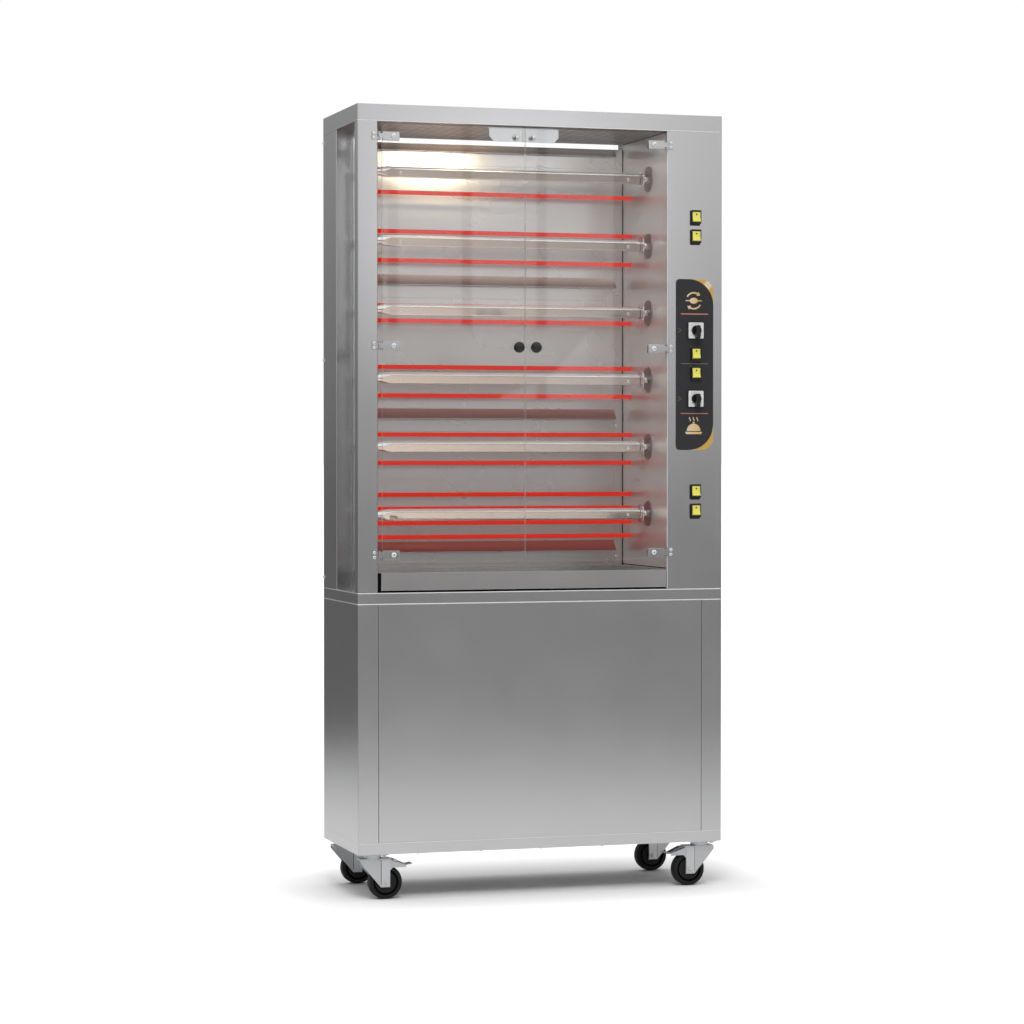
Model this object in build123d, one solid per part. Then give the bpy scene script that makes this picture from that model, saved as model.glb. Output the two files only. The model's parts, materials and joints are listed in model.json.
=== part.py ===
from build123d import *
import os
from math import sqrt

# Upright spit rotisserie on a wheeled stand. Millimetres, +Z up, front towards -Y.
# The origin is on the floor, under the middle of the whole object.

# Clearances
running_gap = 0.05
free_gap = 0.3
cut_over = 5

# Whole cabinet
cabinet_width = 1134
cabinet_depth = 422
cabinet_height = 2190
caster_height = 136
sheet = 1.5
fold_radius = 3

# Stand
base_frame_height = 34
base_frame_wall = 3
stand_height = 731
stand_left_return = 62
stand_right_return = 64
panel_seam = 1.5
panel_return = 25

# Roasting body
body_base_height = 35
cap_height = 50
post_width = 61
post_depth = 34
rear_box_depth = 162
column_width = 176
back_space = 20
back_flange = 28
window_thickness = 5
window_inset = 48
exhaust_height = 17
exhaust_side_margin = 8
ceiling_rib_count = 60
ceiling_rib_height = 1
ceiling_rib_width = 3

# Deflector ledges on the back wall
ledge_count = 4
ledge_reach = 29
ledge_drop = 31
ledge_flange = 40
lowest_ledge_tip = 106
top_ledge_drop = 24
ledge_end_gap = 2

# Rivets and screws
rivet_radius = 2
rivet_head_radius = 4
rivet_head = 1.5
rivet_inset = 22
screw_radius = 2
screw_head_radius = 4
screw_head = 2
screw_length = 9
screw_rear_inset = 6
side_screw_shares = (0.023, 0.502, 0.982)

# Doors
glass = 6
door_setback = 2
door_side_gap = 11
door_middle_gap = 3
door_bottom_gap = 91
door_top_gap = 7
door_corner_radius = 2
pivot_offset = 3.5
pivot_forward = 6.5
knuckle_radius = 4
knuckle_height = 14
hinge_pin_radius = 2
hinge_plate_length = 50.5
hinge_plate_height = 25
hinge_plate = 3
hinge_plate_gap = 9
hinge_bottom_inset = 19.9
hinge_top_inset = 36
hinge_middle_share = 0.494
bracket_length = 18
bracket_screw_spacing = 13.5
bracket_screw_radius = 3.5
bracket_screw_head = 2
glass_bolt_radius = 3
glass_bolt_head_radius = 6
glass_bolt_head = 4
glass_bolt_inset = 14
knob_radius = 16.5
knob_neck_radius = 7
knob_neck = 8
knob_edge_inset = 25
knob_height_share = 0.524
stud_radius = 5
stud_head = 4
stud_edge_inset = 24
strike_radius = 9
strike = 2
catch_width = 215
catch_height = 40
catch_plate = 2
catch_setback = 6
catch_chamfer = 15
catch_flange = 20
stud_below_catch_top = 27

# Spits and their drives
spit_count = 6
lowest_spit = 224
highest_spit_drop = 130
spit_depth = 165
spit_side = 29
spit_tilt = 16
spit_pin_radius = 12
spit_tip = 58
spit_pin_length = 47
spit_taper = 45
spit_stop = 26
spit_disc_radius = 27
spit_disc = 3
shank_radius = 12.5
shank_length = 14
socket_side = 16
socket_depth = 6
cross_pin_radius = 3.5
cross_pin_length = 44
drive_disc_radius = 38.5
drive_disc = 3
drive_shaft_radius = 6
spit_stud_radius = 5
spit_stud_height = 2
spit_stud_inset = 22
rail_thickness = 4
rail_width = 50
rail_left_gap = 8
gearbox_length = 55
gearbox_width = 80
gearbox_height = 70
gearbox_shaft_depth = 30
gearbox_offset = 10
motor_radius = 31
motor_length = 48

# Heating elements
heater_radius = 6.5
heater_rear_space = 95
heater_left_reach = 21
heater_right_reach = 17
heater_hole_gap = 1
ceramic_radius = 11
ceramic_length = 13
heater_height_shares = (4.779, 4.201, 3.770, 3.098, 2.875, 2.186, 1.762, 1.181, 0.758,
                        0.283, 0.0735, -0.140, -0.3495)

# Drip tray
tray_left_gap = 10
tray_right_gap = 2
tray_lift = 8
tray_height = 50
tray_front_drop = 2
tray_rear_gap = 8
tray_sheet = 1.5
tray_grip = 14
runner_width = 15
runner_inset = 4

# Switches
switch_inset = 85
switch_pair_spacing = 58
switch_pair_shares = (0.793, 0.494, 0.193)
bezel_width = 31
bezel_height = 41
bezel_depth = 9
bezel_corner = 2
switch_body_width = 28.6
switch_body_height = 36
switch_body_depth = 16
rocker_width = 25
rocker_radius = 14.8
rocker_dish = 3
rocker_rise = 3
rocker_recess = 3
rocker_tilt = 8
rocker_pin_radius = 1.5
rocker_pin_length = 1.2
selector_spacing = 205.5
selector_side = 48
selector_corner = 3
selector_plate = 6
selector_neck_radius = 11
selector_body_side = 44
selector_body_depth = 40
selector_shaft_radius = 3
selector_shaft_depth = 20
selector_disc_radius = 15
selector_disc = 7
selector_grip_rise = 15
selector_grip_drop = 25
selector_grip_width = 13
selector_grip = 14

# Badge
badge_width = 120
badge_height = 514
badge_plate = 1
badge_drop = 4
badge_small_radius = 12
badge_large_radius = 78
badge_cut_gap = 0.5

# Cable gland
gland_rise = 60
gland_bore_radius = 6
gland_thread_radius = 10
gland_flange_radius = 15
gland_flange = 6
gland_nose_radius = 12
gland_nose = 18
gland_nut = 5

# Casters
caster_inset_x = 54
caster_inset_y = 46
caster_plate_side = 80
caster_plate = 3
caster_race_radius = 27
caster_race = 12
kingpin_radius = 6
kingpin_head_radius = 10
kingpin_head = 5
bolt_head_radius = 6.5
bolt_head = 4
bolt_inset = 11
wheel_radius = 50
wheel_width = 32
wheel_edge_radius = 5
hub_radius = 15
rim_radius = 36
rim_recess = 7
wheel_side_gap = 2
caster_trail = 38
fork_plate = 3
fork_crown = 5
fork_rear = 40
fork_front = 16
fork_shoulder = 12
fork_foot_rear = 16
fork_foot_front = 12
fork_foot_drop = 14
hood_bottom = 43
hood_step = 8
hood_reach = 60
hood_lip = 7
axle_radius = 4
axle_nut_radius = 7
axle_nut = 5
brake_pin_radius = 2.5
brake_barrel_radius = 4.5
brake_plate = 3
brake_width = 30
brake_rise = 9
brake_crest = 10
brake_neck = 62
brake_dip = 8
brake_reach = 80
brake_lip = 3

# Places that follow from the sizes above
left = -cabinet_width / 2
right = cabinet_width / 2
knob_front_reach = door_setback + glass + knob_neck + 2 * knob_radius - sheet
gland_rear_reach = gland_flange + gland_nose
front = -(cabinet_depth + gland_rear_reach - knob_front_reach) / 2
rear = front + cabinet_depth
stand_bottom = caster_height
base_frame_top = stand_bottom + base_frame_height
stand_top = stand_bottom + stand_height
body_floor = stand_top + body_base_height
top = stand_bottom + cabinet_height
roof = top - cap_height
body_height = roof - body_floor
opening_left = left + post_width
opening_right = right - column_width
opening_middle = (opening_left + opening_right) / 2
back = rear - back_space
wall_top = roof - exhaust_height
box_front = rear - rear_box_depth
wall_outside = opening_right + sheet
glass_back = front - door_setback
glass_front = glass_back - glass
door_bottom = body_floor + door_bottom_gap
door_top = roof - door_top_gap
spit_y = front + spit_depth
spit_pitch = (body_height - lowest_spit - highest_spit_drop) / (spit_count - 1)
spit_heights = [body_floor + lowest_spit + spit_pitch * (spit_count - 1 - k) for k in range(spit_count)]
heater_y = rear - heater_rear_space
heater_heights = [body_floor + lowest_spit + spit_pitch * share for share in heater_height_shares]
switch_x = right - switch_inset
pair_heights = [body_floor + body_height * share for share in switch_pair_shares]
rocker_heights = [z + side * switch_pair_spacing / 2 for z in pair_heights for side in (1, -1)]
badge_x = right - column_width / 2
badge_z = pair_heights[1] - badge_drop
selector_heights = [badge_z + side * selector_spacing / 2 for side in (1, -1)]
hinge_heights = [door_bottom + hinge_bottom_inset,
                 door_bottom + (door_top - door_bottom) * hinge_middle_share,
                 door_top - hinge_top_inset]
knob_z = body_floor + body_height * knob_height_share
catch_top = door_top
stud_z = catch_top - stud_below_catch_top
pivot_y = front - pivot_forward
gland_x = right - column_width / 2
gland_z = body_floor + gland_rise
side_screw_heights = [body_floor + body_height * share for share in side_screw_shares]
caster_places = {
    "front_left": (left + caster_inset_x, front + caster_inset_y),
    "front_right": (right - caster_inset_x, front + caster_inset_y),
    "rear_left": (left + caster_inset_x, rear - caster_inset_y),
    "rear_right": (right - caster_inset_x, rear - caster_inset_y),
}


def block(x0, x1, y0, y1, z0, z1):
    """Box between two opposite corners."""
    middle = Pos((x0 + x1) / 2, (y0 + y1) / 2, (z0 + z1) / 2)
    return middle * Box(x1 - x0, y1 - y0, z1 - z0)


def upright(x0, x1, y0, y1, z0, z1, radius):
    """Box whose four upright edges are rounded."""
    outline = RectangleRounded(x1 - x0, y1 - y0, radius)
    return Pos((x0 + x1) / 2, (y0 + y1) / 2, z0) * extrude(outline, z1 - z0)


def facing(x0, x1, y0, y1, z0, z1, radius):
    """Box whose four edges along Y are rounded."""
    outline = RectangleRounded(x1 - x0, z1 - z0, radius)
    return Pos((x0 + x1) / 2, y1, (z0 + z1) / 2) * Rot(90, 0, 0) * extrude(outline, y1 - y0)


def rod_x(x0, x1, y, z, radius):
    """Round rod along X."""
    return Pos((x0 + x1) / 2, y, z) * Rot(0, 90, 0) * Cylinder(radius, x1 - x0)


def rod_y(x, y0, y1, z, radius):
    """Round rod along Y."""
    return Pos(x, (y0 + y1) / 2, z) * Rot(90, 0, 0) * Cylinder(radius, y1 - y0)


def rod_z(x, y, z0, z1, radius):
    """Round rod along Z."""
    return Pos(x, y, (z0 + z1) / 2) * Cylinder(radius, z1 - z0)


def prism_x(points, x0, x1):
    """Solid with an outline of (y, z) points, drawn out from x0 to x1."""
    face = make_face(Polyline([(x0, y, z) for y, z in points], close=True))
    return extrude(face, x1 - x0, dir=(1, 0, 0))


def prism_y(points, y0, y1):
    """Solid with an outline of (x, z) points, drawn out from y0 to y1."""
    face = make_face(Polyline([(x, y0, z) for x, z in points], close=True))
    return extrude(face, y1 - y0, dir=(0, 1, 0))


def group(shapes):
    """Separate solids kept side by side in one node."""
    return Compound(children=[solid for shape in shapes for solid in shape.solids()])


def cut_all(shape, tools):
    """One shape less every tool."""
    for tool in tools:
        shape -= tool
    return shape


def fuse_all(shapes):
    """All the shapes joined into one."""
    whole = shapes[0]
    for shape in shapes[1:]:
        whole += shape
    return whole


# Stand


def stand_base_frame():
    """Shallow pan that carries the stand skins and takes the casters underneath."""
    outer = upright(left, right, front, rear, stand_bottom, base_frame_top, fold_radius)
    wall = base_frame_wall
    inner = block(left + wall, right - wall, front + wall, rear - wall,
                  stand_bottom + wall, base_frame_top + cut_over)
    return outer - inner


def stand_side(outside, inside):
    """Side skin of the stand, folded round its front and rear corners."""
    low, high = min(outside, inside), max(outside, inside)
    outer = upright(left, right, front, rear, base_frame_top, stand_top, fold_radius)
    keep = block(low, high, front, rear, base_frame_top, stand_top)
    inner = block(left + sheet, right - sheet, front + sheet, rear - sheet, base_frame_top, stand_top)
    return (outer - inner) & keep


def stand_panel(y_face, y_flange):
    """Flat panel between the folded corners, with its upright edges turned inwards."""
    x0 = left + stand_left_return + panel_seam
    x1 = right - stand_right_return - panel_seam
    inward = 1 if y_flange > y_face else -1
    y_back = y_face + inward * sheet
    face = block(x0, x1, min(y_face, y_back), max(y_face, y_back), base_frame_top, stand_top)
    flange_low, flange_high = min(y_face, y_flange), max(y_face, y_flange)
    z0 = base_frame_top + base_frame_wall
    z1 = stand_top - base_frame_wall
    flange_left = block(x0, x0 + sheet, flange_low, flange_high, z0, z1)
    flange_right = block(x1 - sheet, x1, flange_low, flange_high, z0, z1)
    return face + flange_left + flange_right


# Body skins


def body_base():
    """Inverted pan that closes the stand, with two runners for the drip tray."""
    outer = upright(left, right, front, rear, stand_top, body_floor, fold_radius)
    inner = block(left + sheet, right - sheet, front + sheet, rear - sheet,
                  stand_top - cut_over, body_floor - sheet)
    tray_left = opening_left + tray_left_gap + runner_inset
    tray_right = opening_right - tray_right_gap - runner_inset
    y0 = front + runner_width
    y1 = back - tray_rear_gap
    runner_left = block(tray_left, tray_left + runner_width, y0, y1, body_floor, body_floor + tray_lift)
    runner_right = block(tray_right - runner_width, tray_right, y0, y1, body_floor, body_floor + tray_lift)
    return outer - inner + runner_left + runner_right


def top_cap():
    """Lid with a deep lip all round."""
    outer = upright(left, right, front, rear, roof, top, fold_radius)
    inner = block(left + sheet, right - sheet, front + sheet, rear - sheet, roof - cut_over, top - sheet)
    return outer - inner


def ceiling_panel():
    """Sheet that closes the cap from below, with fine ribs over the cavity."""
    plate = block(left + sheet, right - sheet, front + sheet, rear - sheet, roof, roof + sheet)
    y0 = front + catch_setback + catch_flange + ceiling_rib_width
    y1 = back - ceiling_rib_width
    x0 = opening_left + ceiling_rib_width + rail_left_gap + rail_thickness
    step = (opening_right - x0) / ceiling_rib_count
    ribs = []
    for k in range(ceiling_rib_count - 1):
        x = x0 + step * k
        ribs.append(block(x, x + ceiling_rib_width, y0, y1, roof - ceiling_rib_height, roof))
    return fuse_all([plate] + ribs)


def left_front_post():
    """Hollow post beside the doors."""
    outer = upright(left, opening_left, front, front + post_depth, body_floor, roof, fold_radius)
    inner = block(left + sheet, opening_left - sheet, front + sheet, front + post_depth - sheet,
                  body_floor, roof)
    holes = [rod_y(x, front - cut_over, front + sheet + cut_over, z, screw_radius + running_gap)
             for x, z in bracket_screw_places(1)]
    return cut_all(outer - inner, holes)


def rear_left_box():
    """Hollow upright behind the side window, which holds the left heater ends."""
    outer = upright(left, opening_left, box_front, rear, body_floor, roof, fold_radius)
    inner = block(left + sheet, opening_left - sheet, box_front + sheet, rear - sheet, body_floor, roof)
    hole = heater_radius + heater_hole_gap
    holes = [rod_x(opening_left - cut_over, opening_left + cut_over, heater_y, z, hole)
             for z in heater_heights]
    screws = [rod_x(left - cut_over, left + sheet + cut_over, rear - screw_rear_inset, z,
                    screw_radius + running_gap) for z in side_screw_heights]
    return cut_all(outer - inner, holes + screws)


def left_window():
    """Glass pane between the front post and the rear box."""
    x0 = left + window_inset
    return block(x0, x0 + window_thickness, front + post_depth, box_front, body_floor, roof)


def spit_rest_rail():
    """Upright bar with an open notch for the pin of each spit."""
    x0 = opening_left + rail_left_gap - rail_thickness
    x1 = x0 + rail_thickness
    bar = block(x0, x1, spit_y - rail_width / 2, spit_y + rail_width / 2, body_floor, roof)
    radius = spit_pin_radius + free_gap
    cuts = []
    for z in spit_heights:
        cuts.append(rod_x(x0 - cut_over, x1 + cut_over, spit_y, z, radius))
        slot = Box(x1 - x0 + 2 * cut_over, rail_width, 2 * radius)
        slot = Pos((x0 + x1) / 2, spit_y, z) * Rot(-45, 0, 0) * Pos(0, -rail_width / 2, 0) * slot
        cuts.append(slot)
    return cut_all(bar, cuts)


def back_wall():
    """Rear sheet of the cavity, which stops below the exhaust slot."""
    plate = block(opening_left, opening_right, back, back + sheet, body_floor, wall_top)
    holes = [rod_y(x, back - cut_over, back + sheet + cut_over, z, rivet_radius + running_gap)
             for x, z in rivet_places()]
    return cut_all(plate, holes)


def rear_cover():
    """Outer rear sheet up to the exhaust slot, and the strip that closes the column beside the slot."""
    plate = block(opening_left, right - sheet, rear - sheet, rear, body_floor, wall_top)
    hole = rod_y(gland_x, rear - sheet - cut_over, rear + cut_over, gland_z, gland_thread_radius + running_gap)
    strip = block(opening_right - exhaust_side_margin, right - sheet, rear - sheet, rear, wall_top, roof)
    return group([plate - hole, strip])


def ledge_tips():
    """Heights of the front edges of the deflector ledges, the last one just under the exhaust slot."""
    lowest = body_floor + lowest_ledge_tip
    pitch = (wall_top - top_ledge_drop - lowest) / (ledge_count - 1)
    return [lowest + pitch * k for k in range(ledge_count)]


def rivet_places():
    """Rivets that join each ledge and the wall flange to the back wall."""
    x_right = opening_right - rivet_inset
    x_left = opening_left + rivet_inset
    drop = ledge_flange / 2
    return [(x, z - drop) for x in (x_left, x_right) for z in ledge_tips()]


def deflector_ledges():
    """Folded strips that lean forward from the back wall between the heaters."""
    ledges = []
    x0 = opening_left + ledge_end_gap
    x1 = opening_right - back_flange - ledge_end_gap
    tips = ledge_tips()
    for tip in tips:
        y_tip = back - ledge_reach
        drop = top_ledge_drop if tip == tips[-1] else ledge_drop
        outline = [
            (back, tip + drop), (y_tip, tip), (y_tip, tip - sheet), (back - sheet, tip - sheet),
            (back - sheet, tip - ledge_flange), (back, tip - ledge_flange), (back, tip),
            (y_tip + 3 * sheet, tip), (back, tip + drop - 2 * sheet),
        ]
        strip = prism_x(outline, x0, x1)
        hole = rod_y(opening_left + rivet_inset, back - ledge_reach, back + cut_over,
                     tip - ledge_flange / 2, rivet_radius + running_gap)
        ledges.append(strip - hole)
    return group(ledges)


def right_inner_wall():
    """Wall between the cavity and the control column, and the strip that joins it to the back wall."""
    plate = block(opening_right, wall_outside, front + sheet, rear - sheet, body_floor, roof)
    flange = block(opening_right - back_flange, opening_right, back - sheet, back, body_floor, wall_top)
    drive_holes = [rod_x(opening_right - cut_over, wall_outside + cut_over, spit_y, z,
                         drive_shaft_radius + heater_hole_gap) for z in spit_heights]
    heater_holes = [rod_x(opening_right - cut_over, wall_outside + cut_over, heater_y, z,
                          heater_radius + heater_hole_gap) for z in heater_heights]
    rivet_holes = [rod_y(x, back - sheet - cut_over, back + cut_over, z, rivet_radius + running_gap)
                   for x, z in rivet_places() if x > opening_middle]
    return group([cut_all(plate, drive_holes + heater_holes), cut_all(flange, rivet_holes)])


def control_fascia():
    """Front sheet of the control column with the switch cut-outs."""
    outer = upright(left, right, front, rear, body_floor, roof, fold_radius)
    inner = block(left, right - sheet, front + sheet, rear, body_floor, roof)
    keep = block(opening_right, right, front, front + fold_radius, body_floor, roof)
    plate = (outer - inner) & keep
    half = switch_body_width / 2 + running_gap
    cuts = [block(switch_x - half, switch_x + half,
                  front - cut_over, front + sheet + cut_over,
                  z - switch_body_height / 2 - running_gap, z + switch_body_height / 2 + running_gap)
            for z in rocker_heights]
    cuts += [rod_y(switch_x, front - cut_over, front + sheet + cut_over, z, selector_neck_radius + running_gap)
             for z in selector_heights]
    cuts += [rod_y(x, front - cut_over, front + sheet + cut_over, z, screw_radius + running_gap)
             for x, z in bracket_screw_places(-1)]
    return cut_all(plate, cuts)


def right_side_panel():
    """Outer right sheet of the control column."""
    plate = block(right - sheet, right, front + fold_radius, rear, body_floor, roof)
    holes = [rod_x(right - sheet - cut_over, right + cut_over, rear - screw_rear_inset, z,
                   screw_radius + running_gap) for z in side_screw_heights]
    return cut_all(plate, holes)


def body_screws():
    """Screws in the rear edges of both sides and rivets in the back wall."""
    pieces = []
    for z in side_screw_heights:
        y = rear - screw_rear_inset
        for outside, inward in ((left, 1), (right, -1)):
            ends = sorted((outside, outside + inward * screw_length))
            shank = rod_x(ends[0], ends[1], y, z, screw_radius)
            head_ends = sorted((outside, outside - inward * screw_head))
            head = rod_x(head_ends[0], head_ends[1], y, z, screw_head_radius)
            pieces.append(shank + head)
    for x, z in rivet_places():
        seat = back - sheet
        head = rod_y(x, seat - rivet_head, seat, z, rivet_head_radius)
        shank = rod_y(x, seat, back + sheet + rivet_head, z, rivet_radius)
        pieces.append(head + shank)
    return group(pieces)


def cable_gland():
    """Threaded gland through the rear cover, with its nut inside."""
    inner_end = rear - sheet - gland_nut
    thread = rod_y(gland_x, inner_end, rear, gland_z, gland_thread_radius)
    nut = rod_y(gland_x, inner_end, rear - sheet, gland_z, gland_flange_radius)
    flange = Pos(gland_x, rear, gland_z) * Rot(-90, 0, 0) * extrude(
        RegularPolygon(gland_flange_radius, 6), gland_flange)
    nose = rod_y(gland_x, rear + gland_flange, rear + gland_flange + gland_nose, gland_z, gland_nose_radius)
    bore = rod_y(gland_x, inner_end - cut_over, rear + gland_rear_reach + cut_over, gland_z, gland_bore_radius)
    return thread + nut + flange + nose - bore


# Doors


def bracket_screw_places(side):
    """Screws of the fixed hinge halves: side 1 for the left door, -1 for the right door."""
    edge = opening_left if side == 1 else opening_right
    x = edge - side * (bracket_length - bracket_screw_radius - hinge_plate)
    return [(x, z + step * bracket_screw_spacing / 2) for z in hinge_heights for step in (1, -1)]


def door_edges(side):
    """Hinged edge, free edge and pivot of one door along X."""
    edge = opening_left if side == 1 else opening_right
    hinged = edge + side * door_side_gap
    free = opening_middle - side * door_middle_gap / 2
    pivot = edge + side * pivot_offset
    return hinged, free, pivot


def door_bolt_places(side):
    """Bolts through the glass as (x, z, radius of the hole)."""
    hinged, free, pivot = door_edges(side)
    hole = glass_bolt_radius + running_gap
    bolt_x = pivot + side * (hinge_plate_gap + hinge_plate_length - glass_bolt_inset - knuckle_radius)
    places = [(bolt_x, z, hole) for z in hinge_heights]
    places.append((free - side * knob_edge_inset, knob_z, hole))
    places.append((free - side * stud_edge_inset, stud_z, hole))
    return places


def door_glass(side):
    """Tempered pane drilled for its fittings."""
    hinged, free, pivot = door_edges(side)
    pane = facing(min(hinged, free), max(hinged, free), glass_front, glass_back, door_bottom, door_top,
                  door_corner_radius)
    holes = [rod_y(x, glass_front - cut_over, glass_back + cut_over, z, radius)
             for x, z, radius in door_bolt_places(side)]
    return cut_all(pane, holes)


def door_fittings(side):
    """Moving hinge halves clamped on the glass, and the stud that meets the catch."""
    hinged, free, pivot = door_edges(side)
    pieces = []
    bolt_x = door_bolt_places(side)[0][0]
    near = pivot + side * hinge_plate_gap
    far = near + side * hinge_plate_length
    for z in hinge_heights:
        low = z - hinge_plate_height / 2
        high = z + hinge_plate_height / 2
        front_leaf = block(min(near, far), max(near, far), glass_front - hinge_plate, glass_front, low, high)
        tongue = block(min(pivot, near), max(pivot, near), glass_front - hinge_plate, glass_front,
                       z - knuckle_height / 2, z + knuckle_height / 2)
        barrel = rod_z(pivot, pivot_y, z - knuckle_height / 2, z + knuckle_height / 2, knuckle_radius)
        web = block(pivot - knuckle_radius / 2, pivot + knuckle_radius / 2, glass_front - hinge_plate,
                    pivot_y, z - knuckle_height / 2, z + knuckle_height / 2)
        bore = rod_z(pivot, pivot_y, low - cut_over, high + cut_over, hinge_pin_radius + running_gap)
        head = rod_y(bolt_x, glass_front - hinge_plate - glass_bolt_head, glass_front - hinge_plate, z,
                     glass_bolt_head_radius)
        shank = rod_y(bolt_x, glass_front - hinge_plate, glass_back, z, glass_bolt_radius)
        back_leaf = block(min(near, far), max(near, far), glass_back, glass_back + hinge_plate, low, high)
        nut = rod_y(bolt_x, glass_back + hinge_plate, glass_back + hinge_plate + glass_bolt_head, z,
                    glass_bolt_head_radius)
        pieces.append(fuse_all([front_leaf, tongue, web, barrel, head, shank, back_leaf, nut]) - bore)
    stud_x = free - side * stud_edge_inset
    head = rod_y(stud_x, glass_front - stud_head, glass_front, stud_z, stud_radius)
    shank = rod_y(stud_x, glass_front, glass_back, stud_z, glass_bolt_radius)
    plate = rod_y(stud_x, glass_back, glass_back + strike - free_gap, stud_z, strike_radius)
    pieces.append(head + shank + plate)
    return group(pieces)


def door_knob(side):
    """Ball knob with its neck, and the bolt and washer behind the glass."""
    hinged, free, pivot = door_edges(side)
    x = free - side * knob_edge_inset
    y_ball = glass_front - knob_neck - knob_radius + sheet
    ball = Pos(x, y_ball, knob_z) * Sphere(knob_radius)
    neck = rod_y(x, y_ball, glass_front, knob_z, knob_neck_radius)
    shank = rod_y(x, glass_front, glass_back, knob_z, glass_bolt_radius)
    washer = rod_y(x, glass_back, glass_back + hinge_plate, knob_z, knob_neck_radius)
    return ball + neck + shank + washer


def hinge_brackets():
    """Fixed hinge halves on the front of the post and of the column, with their pins and screws."""
    pieces = []
    for side in (1, -1):
        edge = opening_left if side == 1 else opening_right
        pivot = door_edges(side)[2]
        inner = edge - side * hinge_plate / 2
        outer = edge - side * bracket_length
        screws = bracket_screw_places(side)
        for k, z in enumerate(hinge_heights):
            low = z - hinge_plate_height / 2
            high = z + hinge_plate_height / 2
            body = block(min(inner, outer), max(inner, outer), front - hinge_plate, front, low, high)
            parts = [body, rod_z(pivot, pivot_y, low, high, hinge_pin_radius)]
            for z0, z1 in ((low, z - knuckle_height / 2 - free_gap), (z + knuckle_height / 2 + free_gap, high)):
                parts.append(rod_z(pivot, pivot_y, z0, z1, knuckle_radius))
                parts.append(block(min(inner, pivot), max(inner, pivot), front - hinge_plate, front, z0, z1))
                parts.append(block(pivot - knuckle_radius / 2, pivot + knuckle_radius / 2, pivot_y,
                                   front, z0, z1))
            bracket = fuse_all(parts)
            for x, screw_z in screws[2 * k:2 * k + 2]:
                bracket -= rod_y(x, front - hinge_plate - cut_over, front + cut_over, screw_z,
                                 screw_radius + running_gap)
                head = rod_y(x, front - hinge_plate - bracket_screw_head, front - hinge_plate, screw_z,
                             bracket_screw_radius)
                shank = rod_y(x, front - hinge_plate, front + screw_length, screw_z, screw_radius)
                pieces.append(head + shank)
            pieces.append(bracket)
    return group(pieces)


def door_catch_plate():
    """Plate hung from the ceiling behind the free top corners, with a magnet for each door."""
    x0 = opening_middle - catch_width / 2
    x1 = opening_middle + catch_width / 2
    y0 = front + catch_setback
    y1 = y0 + catch_plate
    bottom = catch_top - catch_height
    outline = [(x0, catch_top), (x0, bottom + catch_chamfer), (x0 + catch_chamfer, bottom),
               (x1 - catch_chamfer, bottom), (x1, bottom + catch_chamfer), (x1, catch_top)]
    plate = prism_y(outline, y0, y1)
    shelf = block(x0, x1, y0, y0 + catch_flange, catch_top - catch_plate, catch_top)
    hanger = block(x0, x1, y0 + catch_flange - catch_plate, y0 + catch_flange, catch_top, roof)
    magnets = [rod_y(opening_middle + side * (door_middle_gap / 2 + stud_edge_inset), front, y0, stud_z,
                     strike_radius) for side in (1, -1)]
    return group([plate + shelf + hanger] + magnets)


# Spits


def spit(z):
    """One spit with its stop disc and drive shank, and the drive hub that turns it."""
    x_tip = left + spit_tip
    x_taper = x_tip + spit_pin_length
    x_bar = x_taper + spit_taper
    x_stop = opening_right - spit_stop
    corner = spit_side / sqrt(2)
    bar = Pos((x_taper + x_stop) / 2, 0, 0) * Box(x_stop - x_taper, spit_side, spit_side)
    cone = Pos((x_taper + x_bar) / 2, 0, 0) * Rot(0, 90, 0) * Cone(spit_pin_radius, corner, spit_taper)
    straight = Pos((x_bar + x_stop) / 2, 0, 0) * Box(x_stop - x_bar, 2 * spit_side, 2 * spit_side)
    blade = (bar & straight) + (bar & cone)
    for x in (x_bar + spit_stud_inset, x_stop - 2 * spit_stud_inset):
        blade += Pos(x, 0, 0) * Rot(90, 0, 0) * Cylinder(spit_stud_radius, spit_side + 2 * spit_stud_height)
    blade = Rot(spit_tilt, 0, 0) * blade
    pin = rod_x(x_tip, x_taper, 0, 0, spit_pin_radius)
    disc = rod_x(x_stop, x_stop + spit_disc, 0, 0, spit_disc_radius)
    x_shank = x_stop + spit_disc
    x_hub = x_shank + shank_length
    shank = rod_x(x_shank, x_hub, 0, 0, shank_radius)
    cross = rod_z(x_shank + shank_length / 2, 0, -cross_pin_length / 2, cross_pin_length / 2, cross_pin_radius)
    tail_side = socket_side - free_gap
    tail_length = socket_depth - free_gap
    tail = Pos(x_hub + tail_length / 2, 0, 0) * Box(tail_length, tail_side, tail_side)
    skewer = fuse_all([blade, pin, disc, shank, cross, tail])
    x_disc_end = opening_right - free_gap
    hub = rod_x(x_hub, x_disc_end, 0, 0, shank_radius)
    plate = rod_x(x_disc_end - drive_disc, x_disc_end, 0, 0, drive_disc_radius)
    shaft = rod_x(x_disc_end, wall_outside + gearbox_shaft_depth, 0, 0, drive_shaft_radius)
    socket = Pos(x_hub + socket_depth / 2, 0, 0) * Box(socket_depth, socket_side, socket_side)
    drive = hub + plate + shaft - socket
    return group([Pos(0, spit_y, z) * skewer, Pos(0, spit_y, z) * drive])


def spit_gearmotors():
    """One geared motor behind the wall for each spit."""
    motors = []
    x0 = wall_outside
    x1 = x0 + gearbox_length
    for z in spit_heights:
        y0 = spit_y - gearbox_width / 2 + gearbox_offset
        box = block(x0, x1, y0, y0 + gearbox_width, z - gearbox_height / 2, z + gearbox_height / 2)
        can = rod_x(x1, x1 + motor_length, y0 + gearbox_width / 2, z, motor_radius)
        bore = rod_x(x0 - cut_over, x0 + gearbox_shaft_depth + free_gap, spit_y, z,
                     drive_shaft_radius + running_gap)
        motors.append(box + can - bore)
    return group(motors)


# Heating


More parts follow.
